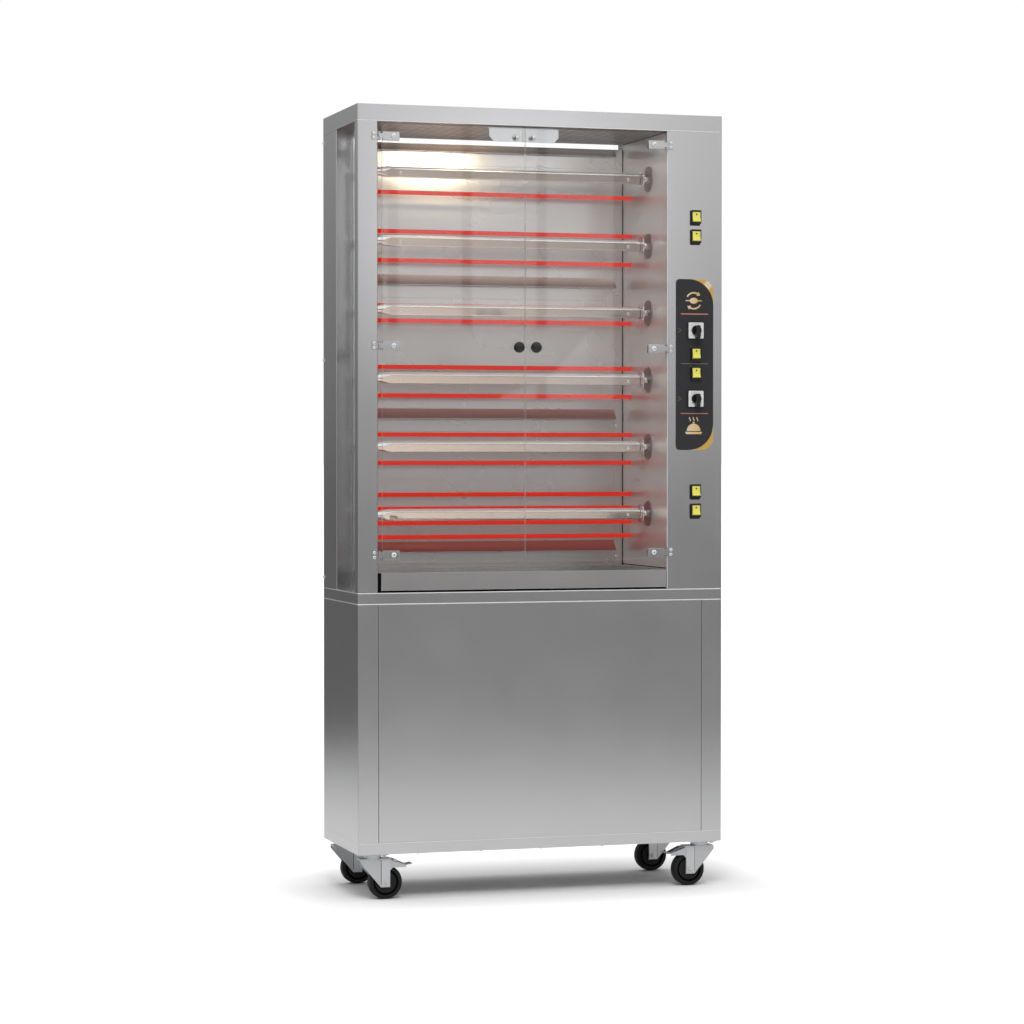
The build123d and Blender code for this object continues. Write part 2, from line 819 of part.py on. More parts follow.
def heater_tubes():
    """Straight tubular heating elements across the cavity."""
    x0 = opening_left - heater_left_reach
    x1 = wall_outside + heater_right_reach
    return group([rod_x(x0, x1, heater_y, z, heater_radius) for z in heater_heights])


def heater_ceramics():
    """Insulating bushes that carry the heater ends behind the two walls."""
    rings = []
    for z in heater_heights:
        for x0 in (opening_left - sheet - ceramic_length, wall_outside):
            ring = rod_x(x0, x0 + ceramic_length, heater_y, z, ceramic_radius)
            bore = rod_x(x0 - cut_over, x0 + ceramic_length + cut_over, heater_y, z,
                         heater_radius + running_gap)
            rings.append(ring - bore)
    return group(rings)


def drip_tray():
    """Open tray that slides out below the doors."""
    x0 = opening_left + tray_left_gap
    x1 = opening_right - tray_right_gap
    y1 = back - tray_rear_gap
    z0 = body_floor + tray_lift
    z1 = z0 + tray_height
    outer = block(x0, x1, front, y1, z0, z1)
    inner = block(x0 + tray_sheet, x1 - tray_sheet, front + tray_sheet, y1 - tray_sheet,
                  z0 + tray_sheet, z1 + cut_over)
    skirt = block(x0, x1, front, front + tray_sheet, z0 - tray_front_drop, z0)
    grip = block(x0, x1, front, front + tray_grip, z1 - tray_sheet, z1)
    return outer - inner + skirt + grip


# Switches


def rocker_pivot():
    """Depth of the rocker axle."""
    return front - bezel_depth + rocker_recess


def rocker_switches():
    """Black switch housings through the fascia."""
    housings = []
    for z in rocker_heights:
        bezel = facing(switch_x - bezel_width / 2, switch_x + bezel_width / 2, front - bezel_depth, front,
                       z - bezel_height / 2, z + bezel_height / 2, bezel_corner)
        body = block(switch_x - switch_body_width / 2, switch_x + switch_body_width / 2, front,
                     front + switch_body_depth, z - switch_body_height / 2, z + switch_body_height / 2)
        pocket = block(switch_x - rocker_width / 2 - free_gap, switch_x + rocker_width / 2 + free_gap,
                       front - bezel_depth - cut_over, rocker_pivot() + rocker_radius + free_gap,
                       z - rocker_radius - free_gap, z + rocker_radius + free_gap)
        half = rocker_width / 2 + rocker_pin_length + free_gap
        axle = rod_x(switch_x - half, switch_x + half, rocker_pivot(), z, rocker_pin_radius + running_gap)
        housings.append(bezel + body - pocket - axle)
    return group(housings)


def rocker(z):
    """Yellow rocker, pressed in at the top, on two stub pins."""
    half = rocker_width / 2
    drum = rod_x(-half, half, 0, 0, rocker_radius)
    over = 2 * rocker_radius
    outline = [(-rocker_dish, 0), (-rocker_dish - rocker_rise, rocker_radius),
               (-rocker_dish - rocker_rise, over), (-over, over), (-over, -over),
               (-rocker_dish - rocker_rise, -over), (-rocker_dish - rocker_rise, -rocker_radius)]
    face = prism_x(outline, -half - cut_over, half + cut_over)
    pins = rod_x(-half - rocker_pin_length, half + rocker_pin_length, 0, 0, rocker_pin_radius)
    return Pos(switch_x, rocker_pivot(), z) * Rot(-rocker_tilt, 0, 0) * (drum - face + pins)


def selector_switches():
    """Rotary switches: square front plate, neck through the fascia and switch block."""
    switches = []
    for z in selector_heights:
        half = selector_side / 2
        plate = facing(switch_x - half, switch_x + half, front - selector_plate, front, z - half, z + half,
                       selector_corner)
        neck = rod_y(switch_x, front, front + sheet, z, selector_neck_radius)
        body_half = selector_body_side / 2
        body = block(switch_x - body_half, switch_x + body_half, front + sheet,
                     front + sheet + selector_body_depth, z - body_half, z + body_half)
        bore = rod_y(switch_x, front - selector_plate - cut_over,
                     front - selector_plate + selector_shaft_depth + free_gap, z,
                     selector_shaft_radius + running_gap)
        switches.append(plate + neck + body - bore)
    return group(switches)


def selector_knob(z):
    """Round knob with a grip bar that points down."""
    y1 = front - selector_plate - free_gap
    y0 = y1 - selector_disc
    disc = rod_y(switch_x, y0, y1, z, selector_disc_radius)
    grip = facing(switch_x - selector_grip_width / 2, switch_x + selector_grip_width / 2,
                  y0 - selector_grip, y0, z - selector_grip_drop, z + selector_grip_rise,
                  selector_grip_width / 3)
    shaft = rod_y(switch_x, y1, front - selector_plate + selector_shaft_depth, z, selector_shaft_radius)
    return disc + grip + shaft


def control_badge():
    """Thin plate behind the middle switches, with two large corners on the right."""
    x0 = badge_x - badge_width / 2
    x1 = badge_x + badge_width / 2
    z0 = badge_z - badge_height / 2
    z1 = badge_z + badge_height / 2
    plate = block(x0, x1, front - badge_plate, front, z0, z1)
    small = plate.edges().filter_by(Axis.Y).group_by(Axis.X)[0]
    plate = fillet(small, badge_small_radius)
    large = plate.edges().filter_by(Axis.Y).group_by(Axis.X)[-1]
    plate = fillet(large, badge_large_radius)
    cuts = []
    half_x = bezel_width / 2 + badge_cut_gap
    half_z = bezel_height / 2 + badge_cut_gap
    for z in rocker_heights:
        cuts.append(block(switch_x - half_x, switch_x + half_x, front - badge_plate - cut_over,
                          front + cut_over, z - half_z, z + half_z))
    half = selector_side / 2 + badge_cut_gap
    for z in selector_heights:
        cuts.append(block(switch_x - half, switch_x + half, front - badge_plate - cut_over,
                          front + cut_over, z - half, z + half))
    return cut_all(plate, cuts)


# Casters, drawn at the swivel axis with the wheel trailing towards +X

race_bottom = caster_height - caster_plate - caster_race
crown_top = race_bottom - free_gap
crown_bottom = crown_top - fork_crown
fork_inside = wheel_width / 2 + wheel_side_gap
fork_outside = fork_inside + fork_plate
wheel_top = 2 * wheel_radius
brake_z = (wheel_top + crown_bottom) / 2


def place_caster(shape, place):
    """Moves a caster piece to its corner and turns it."""
    x, y = caster_places[place]
    turn = 180 if place.endswith("right") else 0
    return Pos(x, y, 0) * Rot(0, 0, turn) * shape


def caster_plates():
    """Bolted plates with the swivel race and kingpin."""
    pieces = []
    half = caster_plate_side / 2
    reach = half - bolt_inset
    for place in caster_places:
        plate = block(-half, half, -half, half, caster_height - caster_plate, caster_height)
        race = rod_z(0, 0, race_bottom, caster_height - caster_plate, caster_race_radius)
        pin = rod_z(0, 0, crown_bottom - free_gap, race_bottom, kingpin_radius)
        head = rod_z(0, 0, crown_bottom - free_gap - kingpin_head, crown_bottom - free_gap,
                     kingpin_head_radius)
        bolt_tools = []
        for sx in (1, -1):
            for sy in (1, -1):
                z_seat = caster_height - caster_plate
                bolt_tools.append(rod_z(sx * reach, sy * reach, z_seat - bolt_head, z_seat, bolt_head_radius))
        solid = fuse_all([plate, race, pin, head] + bolt_tools)
        pieces.append(place_caster(solid, place))
    return group(pieces)


def caster_fork(place):
    """Swivelling fork with its axle bolt."""
    x_low = -fork_rear
    x_high = caster_trail + fork_front
    crown = upright(x_low, x_high, -fork_outside, fork_outside, crown_bottom, crown_top, fold_radius)
    boss = rod_z(0, 0, crown_bottom, crown_top, caster_race_radius)
    foot = wheel_radius - fork_foot_drop
    x_foot = caster_trail + fork_foot_front
    outline = [(x_low, crown_bottom), (x_low, crown_top - fork_shoulder),
               (caster_trail - fork_foot_rear, foot), (x_foot, foot)]
    if place.startswith("front"):
        hood_z = wheel_radius + hood_bottom
        x_hood = caster_trail + hood_reach
        outline += [(x_foot, hood_z - hood_step), (x_foot + hood_step, hood_z), (x_hood, hood_z),
                    (x_hood, hood_z + hood_lip)]
    else:
        outline.append((x_foot, crown_bottom - fork_shoulder))
    outline.append((x_high, crown_bottom))
    legs = [prism_y(outline, y0, y0 + fork_plate) for y0 in (-fork_outside, fork_inside)]
    fork = fuse_all([crown, boss] + legs)
    fork -= rod_z(0, 0, crown_bottom - cut_over, crown_top + cut_over, kingpin_radius + running_gap)
    fork -= rod_y(caster_trail, -fork_outside - cut_over, fork_outside + cut_over, wheel_radius,
                  axle_radius + running_gap)
    axle = rod_y(caster_trail, -fork_outside, fork_outside, wheel_radius, axle_radius)
    for y0 in (-fork_outside - axle_nut, fork_outside):
        axle += Pos(caster_trail, y0, wheel_radius) * Rot(-90, 0, 0) * extrude(
            RegularPolygon(axle_nut_radius, 6), axle_nut)
    pieces = [fork, axle]
    if place.startswith("front"):
        pieces[0] = fork - rod_y(caster_trail, -fork_outside - cut_over, fork_outside + cut_over, brake_z,
                                 brake_pin_radius + running_gap)
        pieces.append(rod_y(caster_trail, -fork_outside, fork_outside, brake_z, brake_pin_radius))
    return group([place_caster(piece, place) for piece in pieces])


def caster_wheel(place):
    """Wheel with a rounded tread, recessed sides and a hub bored for the axle."""
    half = wheel_width / 2
    wheel = rod_y(caster_trail, -half, half, wheel_radius, wheel_radius)
    rim_edges = wheel.edges().filter_by(GeomType.CIRCLE)
    wheel = fillet(rim_edges, wheel_edge_radius)
    for y0, y1 in ((-half - cut_over, -half + rim_recess), (half - rim_recess, half + cut_over)):
        ring = rod_y(caster_trail, y0, y1, wheel_radius, rim_radius)
        ring -= rod_y(caster_trail, y0, y1, wheel_radius, hub_radius)
        wheel -= ring
    wheel -= rod_y(caster_trail, -half - cut_over, half + cut_over, wheel_radius, axle_radius + running_gap)
    for sy in (1, -1):
        y0 = sy * half
        y1 = sy * (fork_inside - free_gap)
        spacer = rod_y(caster_trail, min(y0, y1), max(y0, y1), wheel_radius, hub_radius)
        spacer -= rod_y(caster_trail, -fork_outside, fork_outside, wheel_radius, axle_radius + running_gap)
        wheel += spacer
    return place_caster(wheel, place)


def caster_brake(place):
    """Foot pedal that steps up before the crown and slopes down over the wheel to a toe lip."""
    x0 = caster_trail
    x1 = x0 + fork_front + free_gap
    half = brake_plate / 2
    low = brake_z - half
    high = brake_z + half
    outline = [(x0, low), (x1 + brake_plate, low), (x1 + brake_plate, low + brake_rise),
               (x1 + brake_crest, low + brake_rise), (x0 + brake_neck, low - brake_dip),
               (x0 + brake_reach, low - brake_dip + brake_lip),
               (x0 + brake_reach, high - brake_dip + brake_lip),
               (x0 + brake_neck, high - brake_dip), (x1 + brake_crest, high + brake_rise),
               (x1, high + brake_rise), (x1, high), (x0, high)]
    pedal = prism_y(outline, -brake_width / 2, brake_width / 2)
    barrel = rod_y(x0, -brake_width / 2, brake_width / 2, brake_z, brake_barrel_radius)
    bore = rod_y(x0, -brake_width, brake_width, brake_z, brake_pin_radius + running_gap)
    return place_caster(pedal + barrel - bore, place)


parts = {
    "stand_base_frame": stand_base_frame(),
    "stand_left_side": stand_side(left, left + stand_left_return),
    "stand_right_side": stand_side(right, right - stand_right_return),
    "stand_front_panel": stand_panel(front, front + panel_return),
    "stand_rear_panel": stand_panel(rear, rear - panel_return),
    "body_base": body_base(),
    "top_cap": top_cap(),
    "ceiling_panel": ceiling_panel(),
    "left_front_post": left_front_post(),
    "rear_left_box": rear_left_box(),
    "left_window": left_window(),
    "spit_rest_rail": spit_rest_rail(),
    "back_wall": back_wall(),
    "deflector_ledges": deflector_ledges(),
    "rear_cover": rear_cover(),
    "right_inner_wall": right_inner_wall(),
    "control_fascia": control_fascia(),
    "right_side_panel": right_side_panel(),
    "body_screws": body_screws(),
    "cable_gland": cable_gland(),
    "control_badge": control_badge(),
    "rocker_switches": rocker_switches(),
    "selector_switches": selector_switches(),
    "selector_knob_upper": selector_knob(selector_heights[0]),
    "selector_knob_lower": selector_knob(selector_heights[1]),
    "hinge_brackets": hinge_brackets(),
    "door_catch_plate": door_catch_plate(),
    "heater_tubes": heater_tubes(),
    "heater_ceramics": heater_ceramics(),
    "spit_gearmotors": spit_gearmotors(),
    "drip_tray": drip_tray(),
    "caster_plates": caster_plates(),
}
for name, side in (("left", 1), ("right", -1)):
    parts["door_" + name + "_glass"] = door_glass(side)
    parts["door_" + name + "_fittings"] = door_fittings(side)
    parts["door_" + name + "_knob"] = door_knob(side)
for k, z in enumerate(spit_heights):
    parts["spit_" + str(k + 1)] = spit(z)
for k, z in enumerate(rocker_heights):
    parts["rocker_" + str(k + 1)] = rocker(z)
for place in caster_places:
    parts["caster_fork_" + place] = caster_fork(place)
    parts["caster_wheel_" + place] = caster_wheel(place)
for place in ("front_left", "front_right"):
    parts["caster_brake_" + place] = caster_brake(place)

os.makedirs("parts", exist_ok=True)
for name, shape in parts.items():
    export_step(shape, "parts/" + name + ".step")
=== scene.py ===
import json
import math

import bmesh
import bpy
from mathutils import Matrix, Vector
from mathutils.bvhtree import BVHTree

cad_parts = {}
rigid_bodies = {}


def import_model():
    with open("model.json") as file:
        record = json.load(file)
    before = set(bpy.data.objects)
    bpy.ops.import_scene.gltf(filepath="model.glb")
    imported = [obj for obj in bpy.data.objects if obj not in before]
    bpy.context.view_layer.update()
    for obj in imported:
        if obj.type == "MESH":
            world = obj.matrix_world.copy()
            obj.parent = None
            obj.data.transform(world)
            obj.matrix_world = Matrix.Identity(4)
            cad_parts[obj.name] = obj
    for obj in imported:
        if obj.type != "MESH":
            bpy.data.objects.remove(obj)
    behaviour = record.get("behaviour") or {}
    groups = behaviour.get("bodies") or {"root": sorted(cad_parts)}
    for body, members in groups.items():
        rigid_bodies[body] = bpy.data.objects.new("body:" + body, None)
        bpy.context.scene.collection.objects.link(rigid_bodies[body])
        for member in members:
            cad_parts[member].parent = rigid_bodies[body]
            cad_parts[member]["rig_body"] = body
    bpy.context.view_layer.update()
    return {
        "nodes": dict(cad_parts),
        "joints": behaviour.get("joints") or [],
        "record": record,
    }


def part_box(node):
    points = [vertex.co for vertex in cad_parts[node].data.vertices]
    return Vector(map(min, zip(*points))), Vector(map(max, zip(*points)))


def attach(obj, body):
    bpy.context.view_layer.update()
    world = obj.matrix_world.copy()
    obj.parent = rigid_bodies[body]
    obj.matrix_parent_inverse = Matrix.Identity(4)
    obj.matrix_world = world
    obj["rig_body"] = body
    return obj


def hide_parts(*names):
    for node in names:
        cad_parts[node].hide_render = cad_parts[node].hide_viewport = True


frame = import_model()
nodes = frame["nodes"]
joints = {joint["name"]: joint for joint in frame["joints"]}
slot_of = {part["node"]: part["material_slot"] for part in frame["record"]["subparts"]}

# Camera, fitted to the cabinet's edges in the photograph
camera_place = (-2.6845, -8.52705, 1.3019)
camera_look = (0.29669, 0.95479, -0.01902)
camera_lens = 103.67
sensor_width = 36

# Places read from the frame
mm = 0.001
cap_low, cap_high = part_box("top_cap")
base_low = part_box("body_base")[0]
frame_low, frame_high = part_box("stand_base_frame")
post_low, post_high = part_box("left_front_post")
badge_low, badge_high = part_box("control_badge")
back_low, back_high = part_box("back_wall")
tray_low, tray_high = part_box("drip_tray")
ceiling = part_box("ceiling_panel")[0].z
left, right = cap_low.x, cap_high.x
front, rear = cap_low.y, cap_high.y
opening_left, opening_right = post_high.x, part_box("control_fascia")[0].x
opening_middle = (opening_left + opening_right) / 2
body_floor, roof = post_low.z, cap_low.z
print_face = badge_low.y

# Edges shorter than these stay sharp
short_edge, long_edge = 4 * mm, 20 * mm


# Material tools

materials = {}


def new_material(name):
    """Empty node material, kept under its name."""
    material = bpy.data.materials.new(name)
    material.use_nodes = True
    material.node_tree.nodes.clear()
    materials[name] = material
    return material


def feed(owner, value, target):
    """Links an output to an input, or sets the input's own value; a colour gets its alpha."""
    if isinstance(value, bpy.types.NodeSocket):
        owner.node_tree.links.new(value, target)
    elif target.type == "RGBA":
        target.default_value = (*value, 1)
    else:
        target.default_value = value


def add(owner, kind, settings=None, inputs=(), **named):
    """New node of a material or world, with its settings and what feeds its inputs, in order or by name."""
    node = owner.node_tree.nodes.new(kind)
    for key, value in (settings or {}).items():
        setattr(node, key, value)
    for target, value in zip(node.inputs, inputs):
        feed(owner, value, target)
    for key, value in named.items():
        feed(owner, value, node.inputs[key.replace("_", " ")])
    return node


def show(material, surface):
    """Joins a shader to the material's output."""
    add(material, "ShaderNodeOutputMaterial", Surface=surface.outputs[0])


def shader(material, colour, metallic, roughness, **named):
    """Principled shader, shown by the material."""
    show(material, add(material, "ShaderNodeBsdfPrincipled", Base_Color=colour, Metallic=metallic,
                       Roughness=roughness, **named))


def worked(owner, operation, *values):
    """Result of a Math node."""
    return add(owner, "ShaderNodeMath", {"operation": operation}, values).outputs[0]


def worked_vector(owner, operation, *values, result="Vector"):
    """Result of a Vector Math node."""
    return add(owner, "ShaderNodeVectorMath", {"operation": operation}, values).outputs[result]


def position(owner, space="Generated"):
    """Coordinates in one space, and their outputs X, Y and Z."""
    point = add(owner, "ShaderNodeTexCoord").outputs[space]
    return point, add(owner, "ShaderNodeSeparateXYZ", inputs=(point,)).outputs


def noise(material, scale, detail=2.0, stretch=(1, 1, 1), rough=0.5):
    """Noise in the part's own space, stretched by three factors."""
    point = add(material, "ShaderNodeTexCoord").outputs["Object"]
    mapping = add(material, "ShaderNodeMapping", Vector=point, Scale=stretch)
    texture = add(material, "ShaderNodeTexNoise", Vector=mapping.outputs[0], Scale=scale, Detail=detail,
                  Roughness=rough)
    return texture.outputs["Fac"]


def spread(owner, value, low, high, start=0.0, end=1.0, eased=False):
    """Value of start to end spread over low to high, with soft ends where it is eased."""
    settings = {"interpolation_type": "SMOOTHSTEP" if eased else "LINEAR"}
    node = add(owner, "ShaderNodeMapRange", settings, Value=value, From_Min=start, From_Max=end, To_Min=low,
               To_Max=high)
    return node.outputs["Result"]


def tinted(owner, value, dark, light):
    """Colour between two by a value of 0 to 1."""
    node = add(owner, "ShaderNodeMix", {"data_type": "RGBA"}, Factor=value)
    ends = [socket for socket in node.inputs if socket.type == "RGBA"]
    feed(owner, dark, ends[0])
    feed(owner, light, ends[1])
    return [socket for socket in node.outputs if socket.type == "RGBA"][0]


def bump(material, height, strength, distance):
    """Normal that follows a height."""
    return add(material, "ShaderNodeBump", Height=height, Strength=strength, Distance=distance).outputs[0]


def grey(level):
    """Colour without a hue."""
    return (level, level, level)


# Materials


def brushed(name, dark, light, rough_low, rough_high, stretch, depth=0.02 * mm, metallic=1.0):
    """Brushed steel: fine streaks along one direction and a slow drift in shine."""
    material = new_material(name)
    streaks = noise(material, 1.0, 4.0, stretch, 0.6)
    drift = noise(material, 5.0)
    shader(material, tinted(material, streaks, dark, light), metallic,
           spread(material, drift, rough_low, rough_high), Normal=bump(material, streaks, 0.35, depth))


def polished(name, colour, roughness, metallic=1.0):
    """Bright turned or drawn steel with faint marks."""
    material = new_material(name)
    marks = noise(material, 220.0, 3.0)
    shader(material, colour, metallic, spread(material, marks, roughness * 0.7, roughness * 1.4),
           Normal=bump(material, marks, 0.08, 0.2 * mm))


def moulded(name, dark, light, rough_low, rough_high, scale=900.0, coat=0.0, shine=0.5):
    """Moulded plastic or rubber with a fine grain."""
    material = new_material(name)
    grain = noise(material, scale)
    clouds = noise(material, 30.0)
    shader(material, tinted(material, clouds, dark, light), 0.0,
           spread(material, grain, rough_low, rough_high), Coat_Weight=coat, Specular_IOR_Level=shine,
           Normal=bump(material, grain, 0.15, 0.1 * mm))


def show_pane(material, mirror, through, least, most, sharpness=5.0):
    """Shows a clear and a shining shader together, with more shine towards grazing sight."""
    facing = add(material, "ShaderNodeLayerWeight", Blend=0.5).outputs["Facing"]
    grazing = worked(material, "POWER", facing, sharpness)
    share = worked(material, "MULTIPLY_ADD", grazing, most - least, least)
    both = (share, through.outputs[0], mirror.outputs[0])
    show(material, add(material, "ShaderNodeMixShader", inputs=both))


def clear_glass():
    """Clear pane: see-through, with a mirror share that grows towards grazing sight."""
    material = new_material("clear_glass")
    mirror = add(material, "ShaderNodeBsdfPrincipled", Base_Color=grey(1), Metallic=1.0, Roughness=0.02)
    tint = tinted(material, noise(material, 3.0), (0.975, 0.985, 0.982), grey(0.995))
    show_pane(material, mirror, add(material, "ShaderNodeBsdfTransparent", Color=tint), 0.03, 0.99)


def glass_rim():
    """Ground edge of a pane: half clear, pale and a little green."""
    material = new_material("glass_rim")
    tint = tinted(material, noise(material, 400.0), (0.62, 0.70, 0.68), (0.78, 0.83, 0.82))
    ground = add(material, "ShaderNodeBsdfPrincipled", Base_Color=tint, Roughness=0.3)
    through = add(material, "ShaderNodeBsdfTransparent", Color=(0.93, 0.96, 0.95))
    show_pane(material, ground, through, 0.40, 0.60)


def glowing_sheath():
    """Heater sheath, red hot and almost even, which lights what is near it at half its seen strength."""
    material = new_material("glowing_sheath")
    hot = tinted(material, noise(material, 9.0), (0.56, 0.012, 0.002), (0.62, 0.022, 0.006))
    seen = add(material, "ShaderNodeLightPath").outputs["Is Camera Ray"]
    strength = worked(material, "MULTIPLY_ADD", seen, 0.5, 0.5)
    shader(material, (0.06, 0.01, 0.01), 0.0, 0.8, Specular_IOR_Level=0.0, Emission_Color=hot,
           Emission_Strength=strength)


def ribbed_steel():
    """Ceiling sheet with fine ribs that run front to back, warmer towards the left, with painted shade in the
    hollows between the ribs.
    """
    material = new_material("ribbed_steel")
    point, parts = position(material, "Object")
    ribs = add(material, "ShaderNodeTexWave", {"bands_direction": "X", "wave_profile": "SIN"}, Vector=point,
               Scale=52.0).outputs["Fac"]
    along = spread(material, parts["X"], 0.0, 1.0, opening_left, opening_right)
    crest = tinted(material, along, (0.62, 0.50, 0.45), grey(0.52))
    # Painted shade: the hollows' colours are far darker than the crests'.
    hollow_painted_shade = tinted(material, along, (0.40, 0.31, 0.28), grey(0.26))
    shader(material, tinted(material, ribs, hollow_painted_shade, crest), 1.0,
           spread(material, noise(material, 12.0), 0.30, 0.42), Normal=bump(material, ribs, 0.5, 0.6 * mm))


def ledge_steel(name, light, dark, fold=0.56):
    """Folded strip, lighter towards its top as painted light, and darker below the fold, towards its front
    edge, as painted shade.
    """
    material = new_material(name)
    # Painted light above the fold, painted shade below it.
    rise = spread(material, position(material)[1]["Z"], 0.0, 1.0, fold, 1.0, eased=True)
    drift = noise(material, 12.0)
    shader(material, tinted(material, rise, dark, light), 0.5, spread(material, drift, 0.24, 0.36))


def spit_steel():
    """Spit bar, paler and warmer towards its free left end: painted warm light."""
    material = new_material("spit_steel")
    streaks = noise(material, 1.0, 4.0, long_streaks, 0.6)
    # Painted warm light: pale peach at the left end, greyer to the right.
    tint = tinted(material, position(material)[1]["X"], (0.93, 0.75, 0.64), (0.52, 0.44, 0.40))
    shader(material, tint, 1.0, spread(material, streaks, 0.16, 0.26),
           Normal=bump(material, streaks, 0.3, 0.02 * mm))


def gold_print():
    """Metallic gold print with a painted highlight: one pale area on the diagonal of each corner."""
    material = new_material("gold_print")
    parts = position(material)[1]
    across = worked(material, "ABSOLUTE", worked(material, "SUBTRACT", parts["X"], parts["Z"]))
    # Painted highlight along the diagonal.
    painted_highlight_share = spread(material, across, 1.0, 0.0, 0.10, 0.30, eased=True)
    shader(material, tinted(material, painted_highlight_share, (0.78, 0.47, 0.12), (0.98, 0.80, 0.55)), 0.3, 0.4)


def pale_print():
    """Print of the icons: pale peach on the left, gold on the right."""
    material = new_material("pale_print")
    tint = tinted(material, position(material)[1]["X"], (0.98, 0.76, 0.60), (0.86, 0.56, 0.18))
    shader(material, tint, 0.2, 0.4)


# Streaks along X and Y, along X alone, and marks the same in all directions
fine_streaks, long_streaks, coarse_marks = (3, 3, 900), (4, 500, 500), (60, 60, 60)

# Materials of the part's own slots
brushed("steel_skin", (0.60, 0.60, 0.61), (0.66, 0.66, 0.67), 0.17, 0.23, fine_streaks)
brushed("steel_inner", (0.58, 0.57, 0.565), (0.66, 0.65, 0.645), 0.20, 0.28, fine_streaks)
polished("steel_bright", (0.84, 0.84, 0.85), 0.16)
spit_steel()
clear_glass()
moulded("black_plastic", grey(0.007), grey(0.014), 0.22, 0.34)
moulded("yellow_plastic", (0.97, 0.90, 0.13), (1.0, 0.96, 0.21), 0.20, 0.32, coat=0.3)
moulded("white_plastic", (0.95, 0.95, 0.94), (0.99, 0.99, 0.98), 0.35, 0.5)
moulded("badge_print", (0.040, 0.040, 0.043), (0.046, 0.046, 0.049), 0.5, 0.65, shine=0.2)
glowing_sheath()
moulded("ceramic", (0.74, 0.70, 0.62), (0.84, 0.81, 0.75), 0.5, 0.7, 300.0)
moulded("motor_grey", (0.20, 0.21, 0.23), (0.27, 0.28, 0.30), 0.4, 0.6, 500.0)
polished("zinc", (0.58, 0.59, 0.60), 0.32, 0.6)
moulded("rubber_black", grey(0.010), grey(0.016), 0.5, 0.7, shine=0.25)

# Further materials, of single nodes and of pieces
glass_rim()
ribbed_steel()
# Ledge colours: each light one is painted light and each dark one painted shade; the red and brown copies
# paint the heaters' red glow on the two lowest ledges.
ledge_steel("ledge_steel", (1.0, 0.84, 0.72), (0.36, 0.25, 0.22))
ledge_steel("brown_ledge_steel", (0.62, 0.40, 0.36), (0.36, 0.22, 0.20))
ledge_steel("red_ledge_steel", (0.62, 0.21, 0.17), (0.46, 0.15, 0.13))
brushed("plate_steel", (0.56, 0.56, 0.57), (0.62, 0.62, 0.63), 0.18, 0.24, (400, 3, 400), depth=0.004 * mm)
gold_print()
pale_print()
brushed("back_steel", (0.64, 0.62, 0.61), (0.72, 0.70, 0.69), 0.24, 0.32, fine_streaks, metallic=0.8)
# Paler, warmer copy of the back wall's steel for the right inner wall: painted warm light.
brushed("side_steel_painted_warm_light", (0.93, 0.88, 0.84), (0.99, 0.94, 0.90), 0.22, 0.30, fine_streaks, metallic=0.6)
# Dark mauve steel on each spit's drive disc: painted shade.
brushed("disc_steel_painted_shade", (0.36, 0.27, 0.26), (0.48, 0.38, 0.37), 0.35, 0.5, coarse_marks)
# Near-white steel on the spits' upward faces: a painted highlight along their tops.
brushed("spit_top", (0.95, 0.94, 0.92), (0.99, 0.98, 0.97), 0.28, 0.36, long_streaks, metallic=0.6)
# Near-white, half-metallic steel that paints highlights: the opening's edge line, the bracket screws and the
# door bolts.
brushed("bright_edge", grey(0.93), grey(0.97), 0.3, 0.4, (300, 300, 300), metallic=0.4)
moulded("copper_print", (0.50, 0.20, 0.15), (0.58, 0.26, 0.20), 0.4, 0.5)
moulded("faint_print", (0.17, 0.12, 0.11), (0.24, 0.17, 0.15), 0.5, 0.6)
# Dark red on the collar at each stop disc: painted dark red shade where the disc meets the bar.
brushed("red_steel_painted_shade", (0.22, 0.03, 0.02), (0.30, 0.05, 0.04), 0.35, 0.5, coarse_marks)
# Paler copy of the zinc for the forks' raised side plates: painted light.
polished("plate_zinc_painted_light", (0.64, 0.65, 0.66), 0.32, 0.7)
polished("pedal_steel", (0.36, 0.36, 0.37), 0.34)
moulded("tick_grey", (0.42, 0.42, 0.43), (0.52, 0.52, 0.53), 0.5, 0.6)
moulded("dark_mark", (0.06, 0.02, 0.02), (0.10, 0.04, 0.03), 0.4, 0.5)
moulded("shadow_black", grey(0.003), grey(0.005), 0.8, 0.9, shine=0.05)


def paint(piece, material):
    """Gives a piece one material in every slot."""
    if not piece.material_slots:
        piece.data.materials.append(materials[material])
    for slot in piece.material_slots:
        slot.material = materials[material]


for name, node in nodes.items():
    paint(node, slot_of[name])
paint(nodes["ceiling_panel"], "ribbed_steel")
paint(nodes["back_wall"], "back_steel")


# Mesh tools


def body_of(node):
    """Body that a CAD node rides on."""
    return nodes[node]["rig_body"]


def pivot(joint):
    """Place of a joint."""
    return Vector(joints[joint]["pos_m"])


def new_object(name, bm, material):
    """Object from a bmesh, in one material."""
    mesh = bpy.data.meshes.new(name)
    bm.to_mesh(mesh)
    bm.free()
    mesh.materials.append(materials[material])
    thing = bpy.data.objects.new(name, mesh)
    bpy.context.scene.collection.objects.link(thing)
    return thing


def make_piece(name, bm, body, slot, material=None, smooth_angle=35):
    """Piece from a bmesh, riding on a body, smooth up to an angle and flat on its large faces."""
    bmesh.ops.recalc_face_normals(bm, faces=bm.faces)
    piece = new_object(name, bm, material or slot)
    mesh = piece.data
    mesh.polygons.foreach_set("use_smooth", [True] * len(mesh.polygons))
    mesh.set_sharp_from_angle(angle=math.radians(smooth_angle))
    even = piece.modifiers.new("even_shading", "WEIGHTED_NORMAL")
    even.keep_sharp = True
    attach(piece, body)
    return piece


